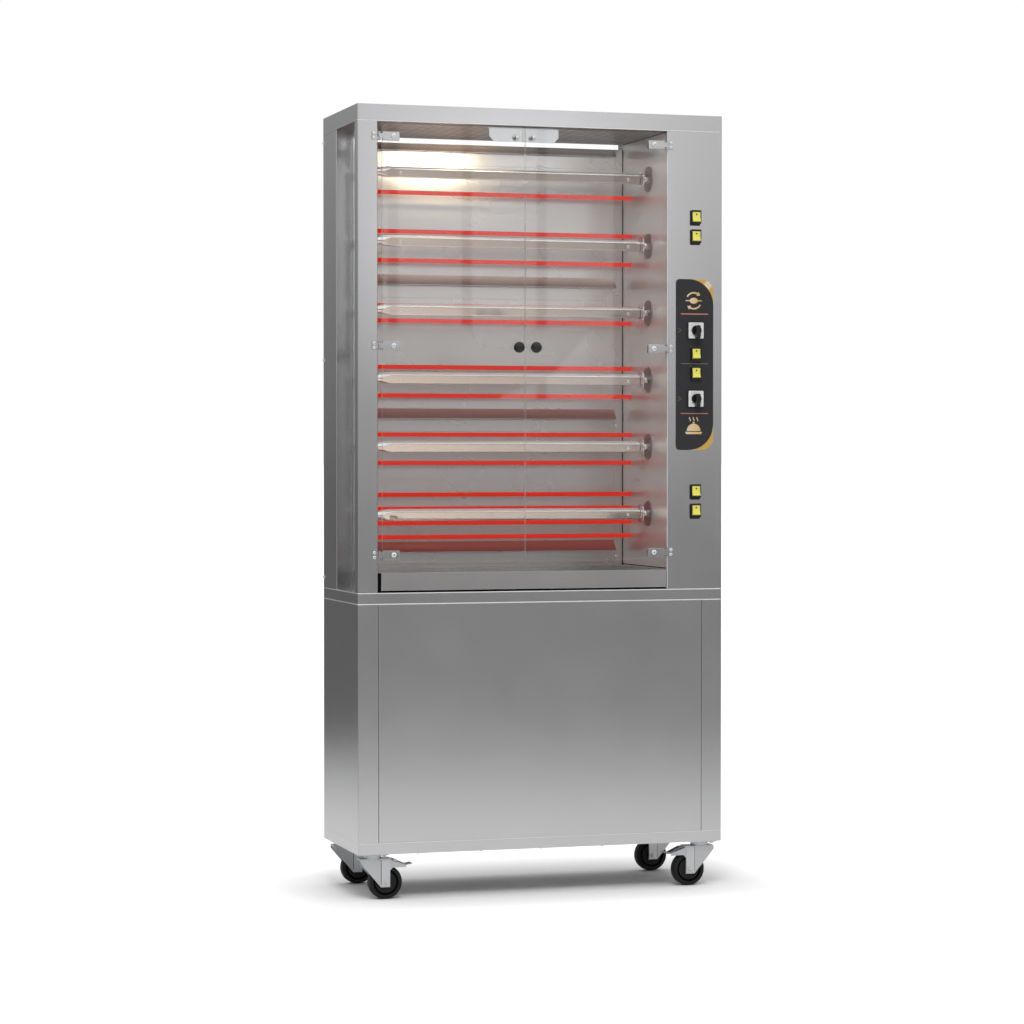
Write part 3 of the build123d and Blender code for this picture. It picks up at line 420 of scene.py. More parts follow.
def soften(bm, width, shortest, segments=2):
    """Rounds the sharp edges that are long enough."""
    sharp = math.radians(30)
    edges = [edge for edge in bm.edges if len(edge.link_faces) == 2 and edge.calc_face_angle() > sharp
             and edge.calc_length() > shortest]
    bmesh.ops.bevel(bm, geom=edges, offset=width, offset_type="OFFSET", segments=segments, profile=0.5,
                    affect="EDGES", clamp_overlap=False)


def copied(node):
    """Clean editable copy of a CAD node's mesh."""
    same_place, same_plane = 0.001 * mm, math.radians(0.5)
    bm = bmesh.new()
    bm.from_mesh(nodes[node].data)
    bmesh.ops.remove_doubles(bm, verts=bm.verts, dist=same_place)
    bmesh.ops.dissolve_limit(bm, angle_limit=same_plane, verts=bm.verts, edges=bm.edges)
    return bm


def softened(node, width, shortest=short_edge, material=None, segments=2):
    """Copy of a CAD node with rounded edges, which stands for it."""
    bm = copied(node)
    soften(bm, width, shortest, segments)
    piece = make_piece(node + "_shown", bm, body_of(node), slot_of[node], material)
    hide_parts(node)
    return piece


def repaint(piece, material, chosen):
    """Gives a second material to the faces whose centre and normal are chosen."""
    piece.data.materials.append(materials[material])
    index = len(piece.data.materials) - 1
    for face in piece.data.polygons:
        if chosen(face.center, face.normal):
            face.material_index = index


def islands(bm):
    """Separate shells of a mesh, each as its list of vertices."""
    left_over = set(bm.verts)
    found = []
    while left_over:
        seed = min(left_over, key=lambda vert: vert.index)
        shell, edge_of_shell = {seed}, [seed]
        while edge_of_shell:
            vert = edge_of_shell.pop()
            for edge in vert.link_edges:
                other = edge.other_vert(vert)
                if other not in shell:
                    shell.add(other)
                    edge_of_shell.append(other)
        left_over -= shell
        found.append(sorted(shell, key=lambda vert: vert.index))
    return found


def shell_boxes(node):
    """Low corner, high corner and middle of every separate shell of a CAD node."""
    bm = copied(node)
    bm.verts.index_update()
    boxes = []
    for shell in islands(bm):
        low = Vector([min(vert.co[axis] for vert in shell) for axis in range(3)])
        high = Vector([max(vert.co[axis] for vert in shell) for axis in range(3)])
        boxes.append((low, high, (low + high) / 2))
    bm.free()
    return boxes


def upright(y, way=1):
    """Placing of an outline in the plane at y, drawn out to the back, or with way -1 to the front."""
    return lambda u, v, w: Vector((u, y + way * w, v))


def join_rings(bm, rings):
    """Faces between each ring of vertices and the next."""
    for first, second in zip(rings, rings[1:]):
        count = len(first)
        for k in range(count):
            bm.faces.new((first[k], first[(k + 1) % count], second[(k + 1) % count], second[k]))


def add_outline(bm, points, place, depth):
    """Flat outline of (u, v) points drawn out by depth; place turns (u, v, w) into the frame."""
    lower = [bm.verts.new(place(u, v, 0)) for u, v in points]
    upper = [bm.verts.new(place(u, v, depth)) for u, v in points]
    bm.faces.new(lower)
    bm.faces.new(upper)
    join_rings(bm, [lower, upper])


def add_lathe(bm, profile, centre, axis, steps=32):
    """Profile of (radius, along) points turned round an axis through centre."""
    turn = Vector(axis).normalized().to_track_quat("Z", "Y").to_matrix()
    rings = []
    for radius, along in profile:
        ring = []
        for k in range(steps):
            angle = 2 * math.pi * k / steps
            offset = turn @ Vector((radius * math.cos(angle), radius * math.sin(angle), along))
            ring.append(bm.verts.new(Vector(centre) + offset))
        rings.append(ring)
    join_rings(bm, rings)
    bm.faces.new(rings[0])
    bm.faces.new(rings[-1])


# Radius and height of each kind of domed head, and how far its seat is sunk in the solid
heads = {
    "side_screw": (4.2 * mm, 1.9 * mm, 1.9 * mm),
    "forward_screw": (4.4 * mm, 1.8 * mm, 1.4 * mm),
    "bracket_screw": (4.9 * mm, 3.2 * mm, 1.9 * mm),
    "frame_screw": (5 * mm, 3 * mm, 0),
    "door_bolt": (7.4 * mm, 5.0 * mm, 3.6 * mm),
    "door_stud": (5.4 * mm, 4.4 * mm, 3.6 * mm),
    "spit_stud": (4.7 * mm, 1.2 * mm, 0),
    "hub_bolt": (7.5 * mm, 5 * mm, 0),
    "axle_bolt": (5.5 * mm, 2.4 * mm, 0),
}


def add_dome(bm, kind, place, axis):
    """Button head of a screw with a sunk socket, on a surface at place."""
    radius, height, sunk = heads[kind]
    socket = radius * 0.38
    shares = ((1.0, 0.0), (1.0, 0.35), (0.93, 0.62), (0.78, 0.84), (0.56, 0.97))
    profile = [(radius * out, height * up) for out, up in shares]
    profile += [(socket, height), (socket, height * 0.55), (socket * 0.2, height * 0.5)]
    add_lathe(bm, profile, Vector(place) - Vector(axis) * sunk, axis, 20)


def arc(cx, cy, radius, start, end, steps):
    """Points of an arc in degrees."""
    angles = [math.radians(start + (end - start) * k / steps) for k in range(steps + 1)]
    return [(cx + radius * math.cos(a), cy + radius * math.sin(a)) for a in angles]


def rectangle(x0, x1, y0, y1):
    """Corners of a rectangle."""
    return [(x0, y0), (x1, y0), (x1, y1), (x0, y1)]


def rounded_box_points(x0, x1, y0, y1, radius, steps=4):
    """Outline of a rectangle with round corners."""
    corners = ((x1 - radius, y1 - radius, 0), (x0 + radius, y1 - radius, 90),
               (x0 + radius, y0 + radius, 180), (x1 - radius, y0 + radius, 270))
    return [point for cx, cy, start in corners for point in arc(cx, cy, radius, start, start + 90, steps)]


def surface_y(node, x, z):
    """Front surface of a CAD node at one place, met from the front."""
    bm = copied(node)
    tree = BVHTree.FromBMesh(bm)
    hit = tree.ray_cast(Vector((x, front - 1.0, z)), Vector((0, 1, 0)))[0]
    bm.free()
    return hit.y


# Skins

skin_round = 0.5 * mm
for node in ("top_cap", "body_base", "stand_base_frame", "stand_left_side", "stand_right_side",
             "stand_front_panel", "stand_rear_panel", "left_front_post", "rear_left_box", "control_fascia",
             "right_side_panel", "rear_cover", "drip_tray"):
    softened(node, skin_round, long_edge)
softened("door_catch_plate", skin_round, material="plate_steel")


def add_hem(bm, z, inset, radius, steps=10):
    """Round bar along the cabinet's outline at one height."""
    corner = 3 * mm
    path = rounded_box_points(left + inset, right - inset, front + inset, rear - inset, corner)
    count = len(path)
    up = Vector((0, 0, 1))
    angles = [2 * math.pi * n / steps for n in range(steps)]
    rings = []
    for k in range(count):
        before, here, after = (Vector((*path[(k + step) % count], z)) for step in (-1, 0, 1))
        across = (after - before).normalized().cross(up)
        ring = [here + radius * (math.cos(a) * across + math.sin(a) * up) for a in angles]
        rings.append([bm.verts.new(point) for point in ring])
    join_rings(bm, rings + rings[:1])


# The hems are round bars in polished steel brighter than the skins: real rounded edges, whose paler colour is
# a painted highlight.
hem_radius = 1.6 * mm
body_inset, base_inset, frame_inset = 0.8 * mm, 0.6 * mm, 1.4 * mm
for name, z, inset in (("cap_hem", roof + hem_radius, body_inset),
                       ("body_base_top_hem", body_floor - hem_radius, body_inset),
                       ("body_base_hem", base_low.z + hem_radius, base_inset),
                       ("stand_frame_hem", frame_high.z - hem_radius, frame_inset)):
    bm = bmesh.new()
    add_hem(bm, z, inset, hem_radius)
    make_piece(name, bm, "root", "steel_bright", smooth_angle=60)


def painted_shadow_strip(name, shapes):
    """Black piece of painted shadow from (outline, y, way, depth) shapes."""
    bm = bmesh.new()
    for points, y, way, depth in shapes:
        add_outline(bm, points, upright(y, way), depth)
    make_piece(name, bm, "root", "rubber_black", "shadow_black")


def painted_shadow_strips():
    """Black strips of painted shadow over the stand frame and along the right wall, and beside and under the
    tray.
    """
    bm = bmesh.new()
    shadow_gap, shadow_inset, shadow_radius = 0.4 * mm, 1.6 * mm, 1.0 * mm
    # Painted shadow along the top of the stand frame.
    add_hem(bm, frame_high.z + shadow_gap, shadow_inset, shadow_radius, 8)
    make_piece("stand_frame_painted_shadow", bm, "root", "rubber_black", "shadow_black")

    line, thickness, flange, flange_depth = 2.4 * mm, 1 * mm, 1.5 * mm, 0.8 * mm
    rim, rim_top = tray_high.z + 3 * mm, tray_high.z + 5.5 * mm
    start, rear_gap = front + 5 * mm, 10 * mm
    reach = back_low.y - front - rear_gap
    wall_line = rectangle(opening_right - line, opening_right, body_floor, back_high.z)
    roof_line = rectangle(opening_right - thickness, opening_right, ceiling - line, ceiling)
    rim_line = rectangle(opening_right - thickness, opening_right, rim, rim_top)
    # Painted shadow in the right wall's corner, under the ceiling and over the tray rim.
    painted_shadow_strip("wall_corner_painted_shadow", ((wall_line, back_low.y - flange, -1, flange_depth),
                                   (roof_line, start, 1, reach), (rim_line, start, 1, reach)))

    setback, depth, gap, below_rim = front + 4 * mm, 2 * mm, 0.3 * mm, 1 * mm
    beside = rectangle(opening_left + gap, tray_low.x - gap, body_floor, tray_high.z - below_rim)
    under = rectangle(tray_low.x, tray_high.x, body_floor, tray_low.z - gap)
    # Painted shadow in the tray's slot.
    painted_shadow_strip("tray_slot_painted_shadow", ((beside, setback, 1, depth), (under, setback, 1, depth)))


def opening_highlight_edge():
    """Folded edge of the column along the opening, as a strip of near-white steel: a painted highlight line.
    """
    edge, depth, corner, end_gap = 2.4 * mm, 0.9 * mm, 0.8 * mm, 2 * mm
    points = rounded_box_points(opening_right, opening_right + edge, front - depth, front + depth, corner, 3)
    low, tall = body_floor + end_gap, roof - body_floor - 2 * end_gap
    bm = bmesh.new()
    add_outline(bm, points, lambda u, v, w: Vector((u, v, low + w)), tall)
    make_piece("opening_highlight_edge", bm, "root", "steel_bright", "bright_edge")


painted_shadow_strips()
opening_highlight_edge()


# Screws and bolts


def screw_heads():
    """Domed heads over the small fixings of the cabinet."""
    side_zone, side_length, screw_height = 20 * mm, 5 * mm, 10 * mm
    bm = bmesh.new()
    for low, high, middle in shell_boxes("body_screws"):
        sideways = high.x - low.x > side_length
        if sideways and middle.x < left + side_zone:
            add_dome(bm, "side_screw", (low.x, middle.y, middle.z), (-1, 0, 0))
        elif sideways and middle.x > right - side_zone:
            add_dome(bm, "side_screw", (high.x, middle.y, middle.z), (1, 0, 0))
        else:
            add_dome(bm, "forward_screw", (middle.x, low.y, middle.z), (0, -1, 0))
    make_piece("screw_heads", bm, "root", "steel_bright")

    bm = bmesh.new()
    for low, high, middle in shell_boxes("hinge_brackets"):
        if high.z - low.z < screw_height:
            add_dome(bm, "bracket_screw", (middle.x, low.y, middle.z), (0, -1, 0))
    # Bracket screws in near-white steel: painted highlight.
    make_piece("bracket_screw_heads", bm, "root", "steel_bright", "bright_edge")

    bm = bmesh.new()
    screw_inset = 15 * mm
    columns = (-381.8 * mm, -188.4 * mm, -1.8 * mm, 190.3 * mm, 380 * mm)
    for x in columns:
        for y in (front + screw_inset, rear - screw_inset):
            add_dome(bm, "frame_screw", (x, y, frame_low.z), (0, 0, -1))
    make_piece("frame_screw_heads", bm, "root", "zinc")


def door_bolt_heads(door, side):
    """Domed bolts on the moving hinge halves and the stud of one door."""
    node = "door_%s_fittings" % door
    bolt_inset, plate_width = 18 * mm, 30 * mm
    bm = bmesh.new()
    for low, high, middle in shell_boxes(node):
        if high.x - low.x > plate_width:
            x = high.x - bolt_inset if side > 0 else low.x + bolt_inset
            add_dome(bm, "door_bolt", (x, low.y, middle.z), (0, -1, 0))
        else:
            add_dome(bm, "door_stud", (middle.x, low.y, middle.z), (0, -1, 0))
    # Door bolts and studs in near-white steel: painted highlight.
    make_piece("door_%s_bolt_heads" % door, bm, body_of(node), "steel_bright", "bright_edge")


screw_heads()
for door, side in (("left", 1), ("right", -1)):
    softened("door_%s_fittings" % door, skin_round, material="plate_steel")
    door_bolt_heads(door, side)
softened("hinge_brackets", skin_round, material="plate_steel")


# Cavity

wall_round, wall_edge = 0.2 * mm, 300 * mm
# The right inner wall is painted warm light; its flange keeps the back wall's steel.
inner_wall = softened("right_inner_wall", wall_round, wall_edge, "side_steel_painted_warm_light")
repaint(inner_wall, "back_steel", lambda point, normal: normal.y < -0.5)


def ledges():
    """Folded strips of the back wall, one piece each so that the painted light and shade follow its own fold.
    """
    ledge_round, ledge_edge = 0.6 * mm, 50 * mm
    bm = copied("deflector_ledges")
    bm.verts.index_update()
    shells = islands(bm)
    order = sorted(range(len(shells)), key=lambda k: shells[k][0].co.z)
    # The two lowest ledges take the redder copies: painted red glow from the heaters.
    tints = {order[0]: "red_ledge_steel", order[1]: "brown_ledge_steel"}
    for number, shell in enumerate(shells):
        keep = {vert.index for vert in shell}
        part = copied("deflector_ledges")
        part.verts.index_update()
        bmesh.ops.delete(part, geom=[vert for vert in part.verts if vert.index not in keep], context="VERTS")
        soften(part, ledge_round, ledge_edge)
        tint = tints.get(number, "ledge_steel")
        piece = make_piece("ledge_%d" % (number + 1), part, "root", "steel_inner", tint)
        repaint(piece, "back_steel", lambda point, normal: normal.y < -0.95 or normal.z < -0.5)
        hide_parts("deflector_ledges")
    bm.free()


ledges()


# Spits

spit_half, spit_round, spit_edge = 14.5 * mm, 4.5 * mm, 100 * mm
spit_tilt = math.radians(16)
spit_pin = 46 * mm
left_stud, right_stud = 114 * mm, 43.5 * mm
stop_start, disc_start = opening_right - 26.5 * mm, opening_right - 4 * mm
hub_bolt_offset = 12 * mm
collar_start, collar_width, collar_rise = stop_start - 5 * mm, 2.2 * mm, 0.5 * mm


def dress_spit(number):
    """Spit with rounded corners and bright ends, a painted highlight on its upward faces, painted shade on
    its drive disc, its studs, the collar of its stop disc in painted dark red shade, and its bolt.
    """
    node = "spit_%d" % number
    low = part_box(node)[0]
    middle = pivot(node + "_spin")
    piece = softened(node, spit_round, spit_edge, segments=5)
    # Upward faces: painted highlight.
    repaint(piece, "spit_top", lambda point, normal: normal.z > 0.1)
    repaint(piece, "steel_bright",
            lambda point, normal: point.x < low.x + spit_pin or stop_start < point.x < disc_start)
    # Drive disc: painted shade.
    repaint(piece, "disc_steel_painted_shade", lambda point, normal: point.x >= disc_start)
    outward = Vector((0, -math.cos(spit_tilt), -math.sin(spit_tilt)))
    across = Vector((0, -math.sin(spit_tilt), math.cos(spit_tilt)))

    bm = bmesh.new()
    stud_rise = spit_half + 1.6 * mm
    for x in (low.x + left_stud, stop_start - right_stud):
        for side in (-1, 1):
            seat = Vector((x, middle.y, middle.z)) + outward * side * stud_rise
            add_dome(bm, "spit_stud", seat, outward * side)
    bolt_place = (opening_right - hub_bolt_offset, middle.y - hub_bolt_offset, middle.z)
    add_dome(bm, "hub_bolt", bolt_place, (0, -1, 0))
    make_piece(node + "_studs", bm, node, "steel_bright")

    bm = bmesh.new()
    size = spit_half + collar_rise
    points = rounded_box_points(-size, size, -size, size, spit_round)
    start = Vector((collar_start, middle.y, middle.z))
    add_outline(bm, points, lambda u, v, w: start + outward * u + across * v + Vector((w, 0, 0)),
                collar_width)
    # Collar: painted dark red shade.
    make_piece(node + "_collar", bm, node, "spit_steel", "red_steel_painted_shade")


for number in range(1, 7):
    dress_spit(number)


# Knobs, switches and badge


def ball_knob(door):
    """Turned ball knob on a flared neck."""
    node = "door_%s_knob" % door
    low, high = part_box(node)
    x, z = (low.x + high.x) / 2, (low.z + high.z) / 2
    glass_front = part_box("door_%s_glass" % door)[0].y
    radius = (high.x - low.x) / 2
    ball_y = low.y + radius
    seat, back = ball_y - glass_front, high.y - glass_front
    neck, flare, flare_length = 7 * mm, 2.5 * mm, 1 * mm
    steps, ball_share = 14, 0.86
    angles = [math.pi * k / steps * ball_share for k in range(1, steps + 1)]
    profile = [(radius * math.sin(a), radius * math.cos(a)) for a in angles]
    profile += [(neck, -radius), (neck, seat + 2 * flare_length), (neck + flare, seat + flare_length),
                (neck + flare, seat)]
    bm = bmesh.new()
    add_lathe(bm, profile, (x, ball_y, z), (0, -1, 0), 40)
    nut = [(neck, 0), (neck, -back * 0.6), (neck * 0.8, -back), (neck * 0.3, -back)]
    add_lathe(bm, nut, (x, glass_front + back * 0.4, z), (0, -1, 0), 24)
    piece = make_piece(node + "_shown", bm, body_of(node), slot_of[node], smooth_angle=50)
    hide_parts(node)


for door in ("left", "right"):
    ball_knob(door)

# How far the dark collars reach to the left, to the right, down and up from a switch's pivot; the wider reach
# to the left and down is painted shade
rocker_reach = (17.5 * mm, 14 * mm, 26 * mm, 17.5 * mm)
selector_reach = (29.5 * mm, 25 * mm, 28.5 * mm, 25 * mm)
collar_round, collar_depth = 2 * mm, 2.4 * mm
housing_round, rocker_round, knob_round = 0.8 * mm, 0.9 * mm, 1.4 * mm
switch_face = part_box("selector_switches")[0].y
selectors = ("upper", "lower")
rockers = range(1, 7)


def rotary_faces():
    """Black blocks of the rotary switches with their white faces."""
    face_depth = 1.6 * mm
    piece = softened("selector_switches", skin_round, material="black_plastic")
    repaint(piece, "white_plastic", lambda point, normal: point.y < switch_face + face_depth)


def switch_collars():
    """Dark trims round the rockers and the rotary switches, reaching further to the left and down as painted
    shade.
    """
    bm = bmesh.new()
    places = [(pivot("rocker_%d_tilt" % number), rocker_reach) for number in rockers]
    places += [(pivot("selector_%s_turn" % name), selector_reach) for name in selectors]
    for spot, (to_left, to_right, down, up) in places:
        points = rounded_box_points(spot.x - to_left, spot.x + to_right, spot.z - down, spot.z + up,
                                    collar_round)
        add_outline(bm, points, upright(front, -1), collar_depth)
    soften(bm, skin_round, long_edge)
    make_piece("switch_collars", bm, "root", "black_plastic")


def knobs_and_ticks():
    """Knobs of the rotary switches and the ring of tick marks round each."""
    tick_circle, tick_radius = 20.5 * mm, 1.1 * mm
    profile = [(tick_radius, -0.3 * mm), (tick_radius, 0.1 * mm), (0.8 * mm, 0.15 * mm)]
    for name in selectors:
        softened("selector_knob_" + name, knob_round, 1 * mm, segments=3)
        centre = pivot("selector_%s_turn" % name)
        bm = bmesh.new()
        for angle in range(-135, 136, 45):
            turn = math.radians(angle)
            spot = (centre.x + tick_circle * math.sin(turn), switch_face,
                    centre.z + tick_circle * math.cos(turn))
            add_lathe(bm, profile, spot, (0, -1, 0), 12)
        make_piece("selector_%s_ticks" % name, bm, "root", "white_plastic", "tick_grey")


def rocker_switches():
    """Housings and rockers with rounded edges, and the dark dot on every rocker."""
    dot_drop, dot_radius = 7 * mm, 2.5 * mm
    profile = [(dot_radius, -0.6 * mm), (dot_radius, 0.2 * mm), (2.0 * mm, 0.35 * mm)]
    softened("rocker_switches", housing_round)
    for number in rockers:
        node = "rocker_%d" % number
        softened(node, rocker_round, segments=3)
        low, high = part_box(node)
        x, z = (low.x + high.x) / 2, high.z - dot_drop
        bm = bmesh.new()
        add_lathe(bm, profile, (x, surface_y(node, x, z), z), (0, -1, 0), 16)
        make_piece(node + "_dot", bm, node, "black_plastic", "dark_mark")


rotary_faces()
switch_collars()
knobs_and_ticks()
rocker_switches()


def printed(name, outlines, material, thickness=0.35 * mm):
    """Raised print on the badge from closed (x, z) outlines."""
    bm = bmesh.new()
    for points in outlines:
        add_outline(bm, points, upright(print_face, -1), thickness)
    make_piece(name, bm, "root", "badge_print", material)


def band(points, width):
    """Closed outline of a line of even width through (x, z) points."""
    upper, lower = [], []
    for k, here in enumerate(points):
        before = points[max(k - 1, 0)]
        after = points[min(k + 1, len(points) - 1)]
        dx, dz = after[0] - before[0], after[1] - before[1]
        size = math.hypot(dx, dz)
        nx, nz = -dz / size * width / 2, dx / size * width / 2
        upper.append((here[0] + nx, here[1] + nz))
        lower.append((here[0] - nx, here[1] - nz))
    return upper + lower[::-1]


def badge_corners():
    """Gold corners at the badge's right end."""
    inner, outer = 78 * mm, 38 * mm
    edge = arc(0, 0, inner, 90, 0, 16)
    rim = arc(inner - outer, inner - outer, outer, 0, 90, 12)
    for name, z, sign in (("top", badge_high.z, 1), ("bottom", badge_low.z, -1)):
        shape = [(badge_high.x - inner + u, z - sign * inner + sign * v) for u, v in edge + rim]
        bm = bmesh.new()
        add_outline(bm, shape, upright(front, -1), front - print_face)
        make_piece("badge_corner_" + name, bm, "root", "badge_print", "gold_print")


def badge_lines():
    """Copper dividers and the pointers beside the rotary switches."""
    middle, half = 478.5 * mm, 44 * mm
    dividers = ((1729 * mm, 4 * mm), (1579.5 * mm, 2.4 * mm), (1429.6 * mm, 2.8 * mm))
    bars = [rounded_box_points(middle - half, middle + half, z - tall / 2, z + tall / 2, tall * 0.4, 3)
            for z, tall in dividers]
    printed("badge_dividers", bars[::2], "copper_print")
    printed("badge_middle_divider", bars[1:2], "faint_print")

    tip, length, rise, width = 436 * mm, 11 * mm, 6.5 * mm, 1.8 * mm
    heights = [pivot("selector_%s_turn" % name).z for name in selectors]
    pointers = [band([(tip - length, z + rise), (tip, z), (tip - length, z - rise)], width) for z in heights]
    printed("badge_pointers", pointers, "faint_print")


def spit_icon(x, z):
    """Plain sign of a turning spit: two arrows in a ring round a roast on a skewer."""
    radius, width, head, point = 24 * mm, 4.5 * mm, 7 * mm, 10 * mm
    skewer_half, skewer_width, roast_half, roast_tall = 26 * mm, 3 * mm, 13 * mm, 9 * mm
    shapes = [band(arc(x, z, radius, start, start + 90, 14), width) for start in (60, 240)]
    shapes.append(band([(x - skewer_half, z), (x + skewer_half, z)], skewer_width))
    for turn in (60, 240):
        a = math.radians(turn)
        out = Vector((math.cos(a), math.sin(a)))
        along = Vector((out.y, -out.x))
        end = Vector((x, z)) + radius * out
        shapes.append([end + head * out, end + point * along, end - head * out])
    printed("badge_spit_icon", shapes, "pale_print")
    roast = [(x + roast_half * math.cos(a), z + roast_tall * math.sin(a))
             for a in [2 * math.pi * k / 24 for k in range(24)]]
    printed("badge_spit_icon_roast", [roast], "pale_print", 0.5 * mm)


def dish_icon(x, z):
    """Plain sign of a covered dish with three lines of steam."""
    top, foot, tall = 28 * mm, 24 * mm, 3.5 * mm
    cover_rise, cover_radius, knob_rise, knob_radius = 6 * mm, 22 * mm, 30 * mm, 3.5 * mm
    plate = [(x - top, z + tall), (x - foot, z - tall), (x + foot, z - tall), (x + top, z + tall)]
    cover = arc(x, z + cover_rise, cover_radius, 0, 180, 20)
    knob = arc(x, z + knob_rise, knob_radius, -20, 200, 10)
    steam = []
    gap, sway, width, start, step, steps = 12 * mm, 2 * mm, 2.6 * mm, 36 * mm, 1.4 * mm, 8
    for offset in (-gap, 0, gap):
        wave = [(x + offset + sway * math.sin(k / steps * 2 * math.pi), z + start + step * k)
                for k in range(steps + 1)]
        steam.append(band(wave, width))
    printed("badge_dish_icon", [plate, cover, knob] + steam, "pale_print")


icon_x, spit_icon_z, dish_icon_z = 476 * mm, 1769 * mm, 1371 * mm
badge_corners()
badge_lines()
spit_icon(icon_x, spit_icon_z)
dish_icon(icon_x, dish_icon_z)


# Casters

fork_round, plate_round, pedal_round, fork_plate_round = 0.9 * mm, 0.8 * mm, 0.7 * mm, 0.4 * mm
tread_half, dish, groove_floor, groove_in, groove_out = 16 * mm, 13 * mm, 9 * mm, 32 * mm, 38 * mm
fork_leg, plate_depth, fold_shadow_depth, bolt_rise = 21 * mm, 1.2 * mm, 0.3 * mm, 4.6 * mm
plate_outline = [(-15 * mm, 66 * mm), (-15 * mm, -6 * mm), (-11 * mm, -11 * mm), (7 * mm, -11 * mm),
                 (10.5 * mm, -7 * mm), (10.5 * mm, 66 * mm)]
# Black strip at each side plate's fold: painted shade.
fold_shadow_outline = [(-16.4 * mm, -5 * mm), (-15 * mm, -7 * mm), (-15 * mm, 67 * mm), (-16.4 * mm, 67 * mm)]
washer_profile = [(4.3 * mm, 0), (9.5 * mm, 0), (9.5 * mm, 1.2 * mm), (4.3 * mm, 1.2 * mm)]


def dress_caster(place):
    """Wheel with a grooved tyre, its ring channel in black as painted shade, softened fork with a raised side
    plate in paler zinc as painted light, a black strip of painted shade at the plate's fold, and bolt heads.
    """
    wheel = "caster_wheel_" + place
    low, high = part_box(wheel)
    centre = (low + high) / 2
    radius, spacer = (high.x - low.x) / 2, (high.y - low.y) / 2
    edge = [(4.2 * mm, -spacer), (12 * mm, -spacer), (13 * mm, -tread_half), (14 * mm, -dish),
            (groove_in, -dish), (groove_in + 1 * mm, -groove_floor), (groove_out - 1 * mm, -groove_floor),
            (groove_out, -tread_half), (43 * mm, -tread_half), (44 * mm, -tread_half + 0.8 * mm),
            (45 * mm, -tread_half + 0.6 * mm), (48.4 * mm, -14 * mm), (radius, -10.5 * mm)]
    profile = edge + [(r, -along) for r, along in reversed(edge)]
    bm = bmesh.new()
    add_lathe(bm, profile, centre, (0, 1, 0), 72)
    piece = make_piece(wheel + "_shown", bm, body_of(wheel), "rubber_black", smooth_angle=40)
    # Painted shade: the tyre's ring channel in black.
    repaint(piece, "shadow_black",
            lambda point, normal: groove_in < math.hypot(point.x - centre.x, point.z - centre.z) < groove_out)
    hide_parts(wheel)

    fork = "caster_fork_" + place
    softened(fork, fork_round)
    plates, fold_shadows = bmesh.new(), bmesh.new()
    turn = -1 if place.endswith("right") else 1
    for side in (-1, 1):
        y = pivot("caster_%s_swivel" % place).y + side * fork_leg
        for shape, holder, depth in ((plate_outline, plates, plate_depth), (fold_shadow_outline, fold_shadows, fold_shadow_depth)):
            points = [(centre.x + turn * u, centre.z + v) for u, v in shape]
            add_outline(holder, points, upright(y, side), depth)
        add_dome(plates, "axle_bolt", (centre.x, y + side * bolt_rise, centre.z), (0, side, 0))
        add_lathe(plates, washer_profile, (centre.x, y + side * plate_depth, centre.z), (0, side, 0), 24)
    # Painted shade at the fold.
    make_piece(fork + "_folds", fold_shadows, body_of(fork), "zinc", "shadow_black")
    soften(plates, fork_plate_round, 3 * mm)
    # Side plates, washers and axle bolts in paler zinc: painted light.
    make_piece(fork + "_plates", plates, body_of(fork), "zinc", "plate_zinc_painted_light")


for place in ("front_left", "front_right", "rear_left", "rear_right"):
    dress_caster(place)
softened("caster_plates", plate_round)
for place in ("front_left", "front_right"):
    softened("caster_brake_" + place, pedal_round, material="pedal_steel")


# Glass

pane_round = 0.6 * mm


def pane(node):
    """Glass pane with ground edges of their own material."""
    piece = softened(node, pane_round, long_edge)
    faces = piece.data.polygons
    flat = max(range(3), key=lambda axis: sum(face.area for face in faces if abs(face.normal[axis]) > 0.9))
    repaint(piece, "glass_rim", lambda point, normal: abs(normal[flat]) <= 0.9)


for node in ("door_left_glass", "door_right_glass", "left_window"):
    pane(node)


# Stage, lights and camera


def floor_material():
    """Pale floor, white to the camera with a glow away from the object, and greyer far off in reflections."""
    material = new_material("studio_floor")
    point, parts = position(material, "Object")
    far = worked_vector(material, "LENGTH", point, result="Value")
    fade = spread(material, far, 0.86, 0.27, start=1.0, end=6.0, eased=True)
    behind = spread(material, parts["Y"], 1.0, 0.6, start=3.2, end=6.0, eased=True)
    seen = add(material, "ShaderNodeLightPath").outputs["Is Camera Ray"]
    level = worked(material, "MAXIMUM", worked(material, "MULTIPLY", fade, behind), seen)
    shade = add(material, "ShaderNodeCombineColor", inputs=(level, level, level)).outputs[0]
    diffuse = add(material, "ShaderNodeBsdfDiffuse", Color=shade)
    sides = worked_vector(material, "ABSOLUTE", point)
    outside = worked_vector(material, "SUBTRACT", sides, (right, rear, 0))
    gap = worked_vector(material, "MAXIMUM", outside, (0, 0, 0))
    away = worked_vector(material, "LENGTH", gap, result="Value")
    rise = spread(material, away, 0.0, 0.45, start=0.0, end=0.50, eased=True)
    strength = worked(material, "MULTIPLY", seen, rise)
    glow = add(material, "ShaderNodeEmission", Color=grey(1), Strength=strength)
    show(material, add(material, "ShaderNodeAddShader", inputs=(diffuse.outputs[0], glow.outputs[0])))


def make_floor():
    """Level floor under the casters."""
    floor_material()
    bm = bmesh.new()
    half_size = 400
    bmesh.ops.create_grid(bm, x_segments=2, y_segments=2, size=half_size)
    new_object("studio_floor", bm, "studio_floor")


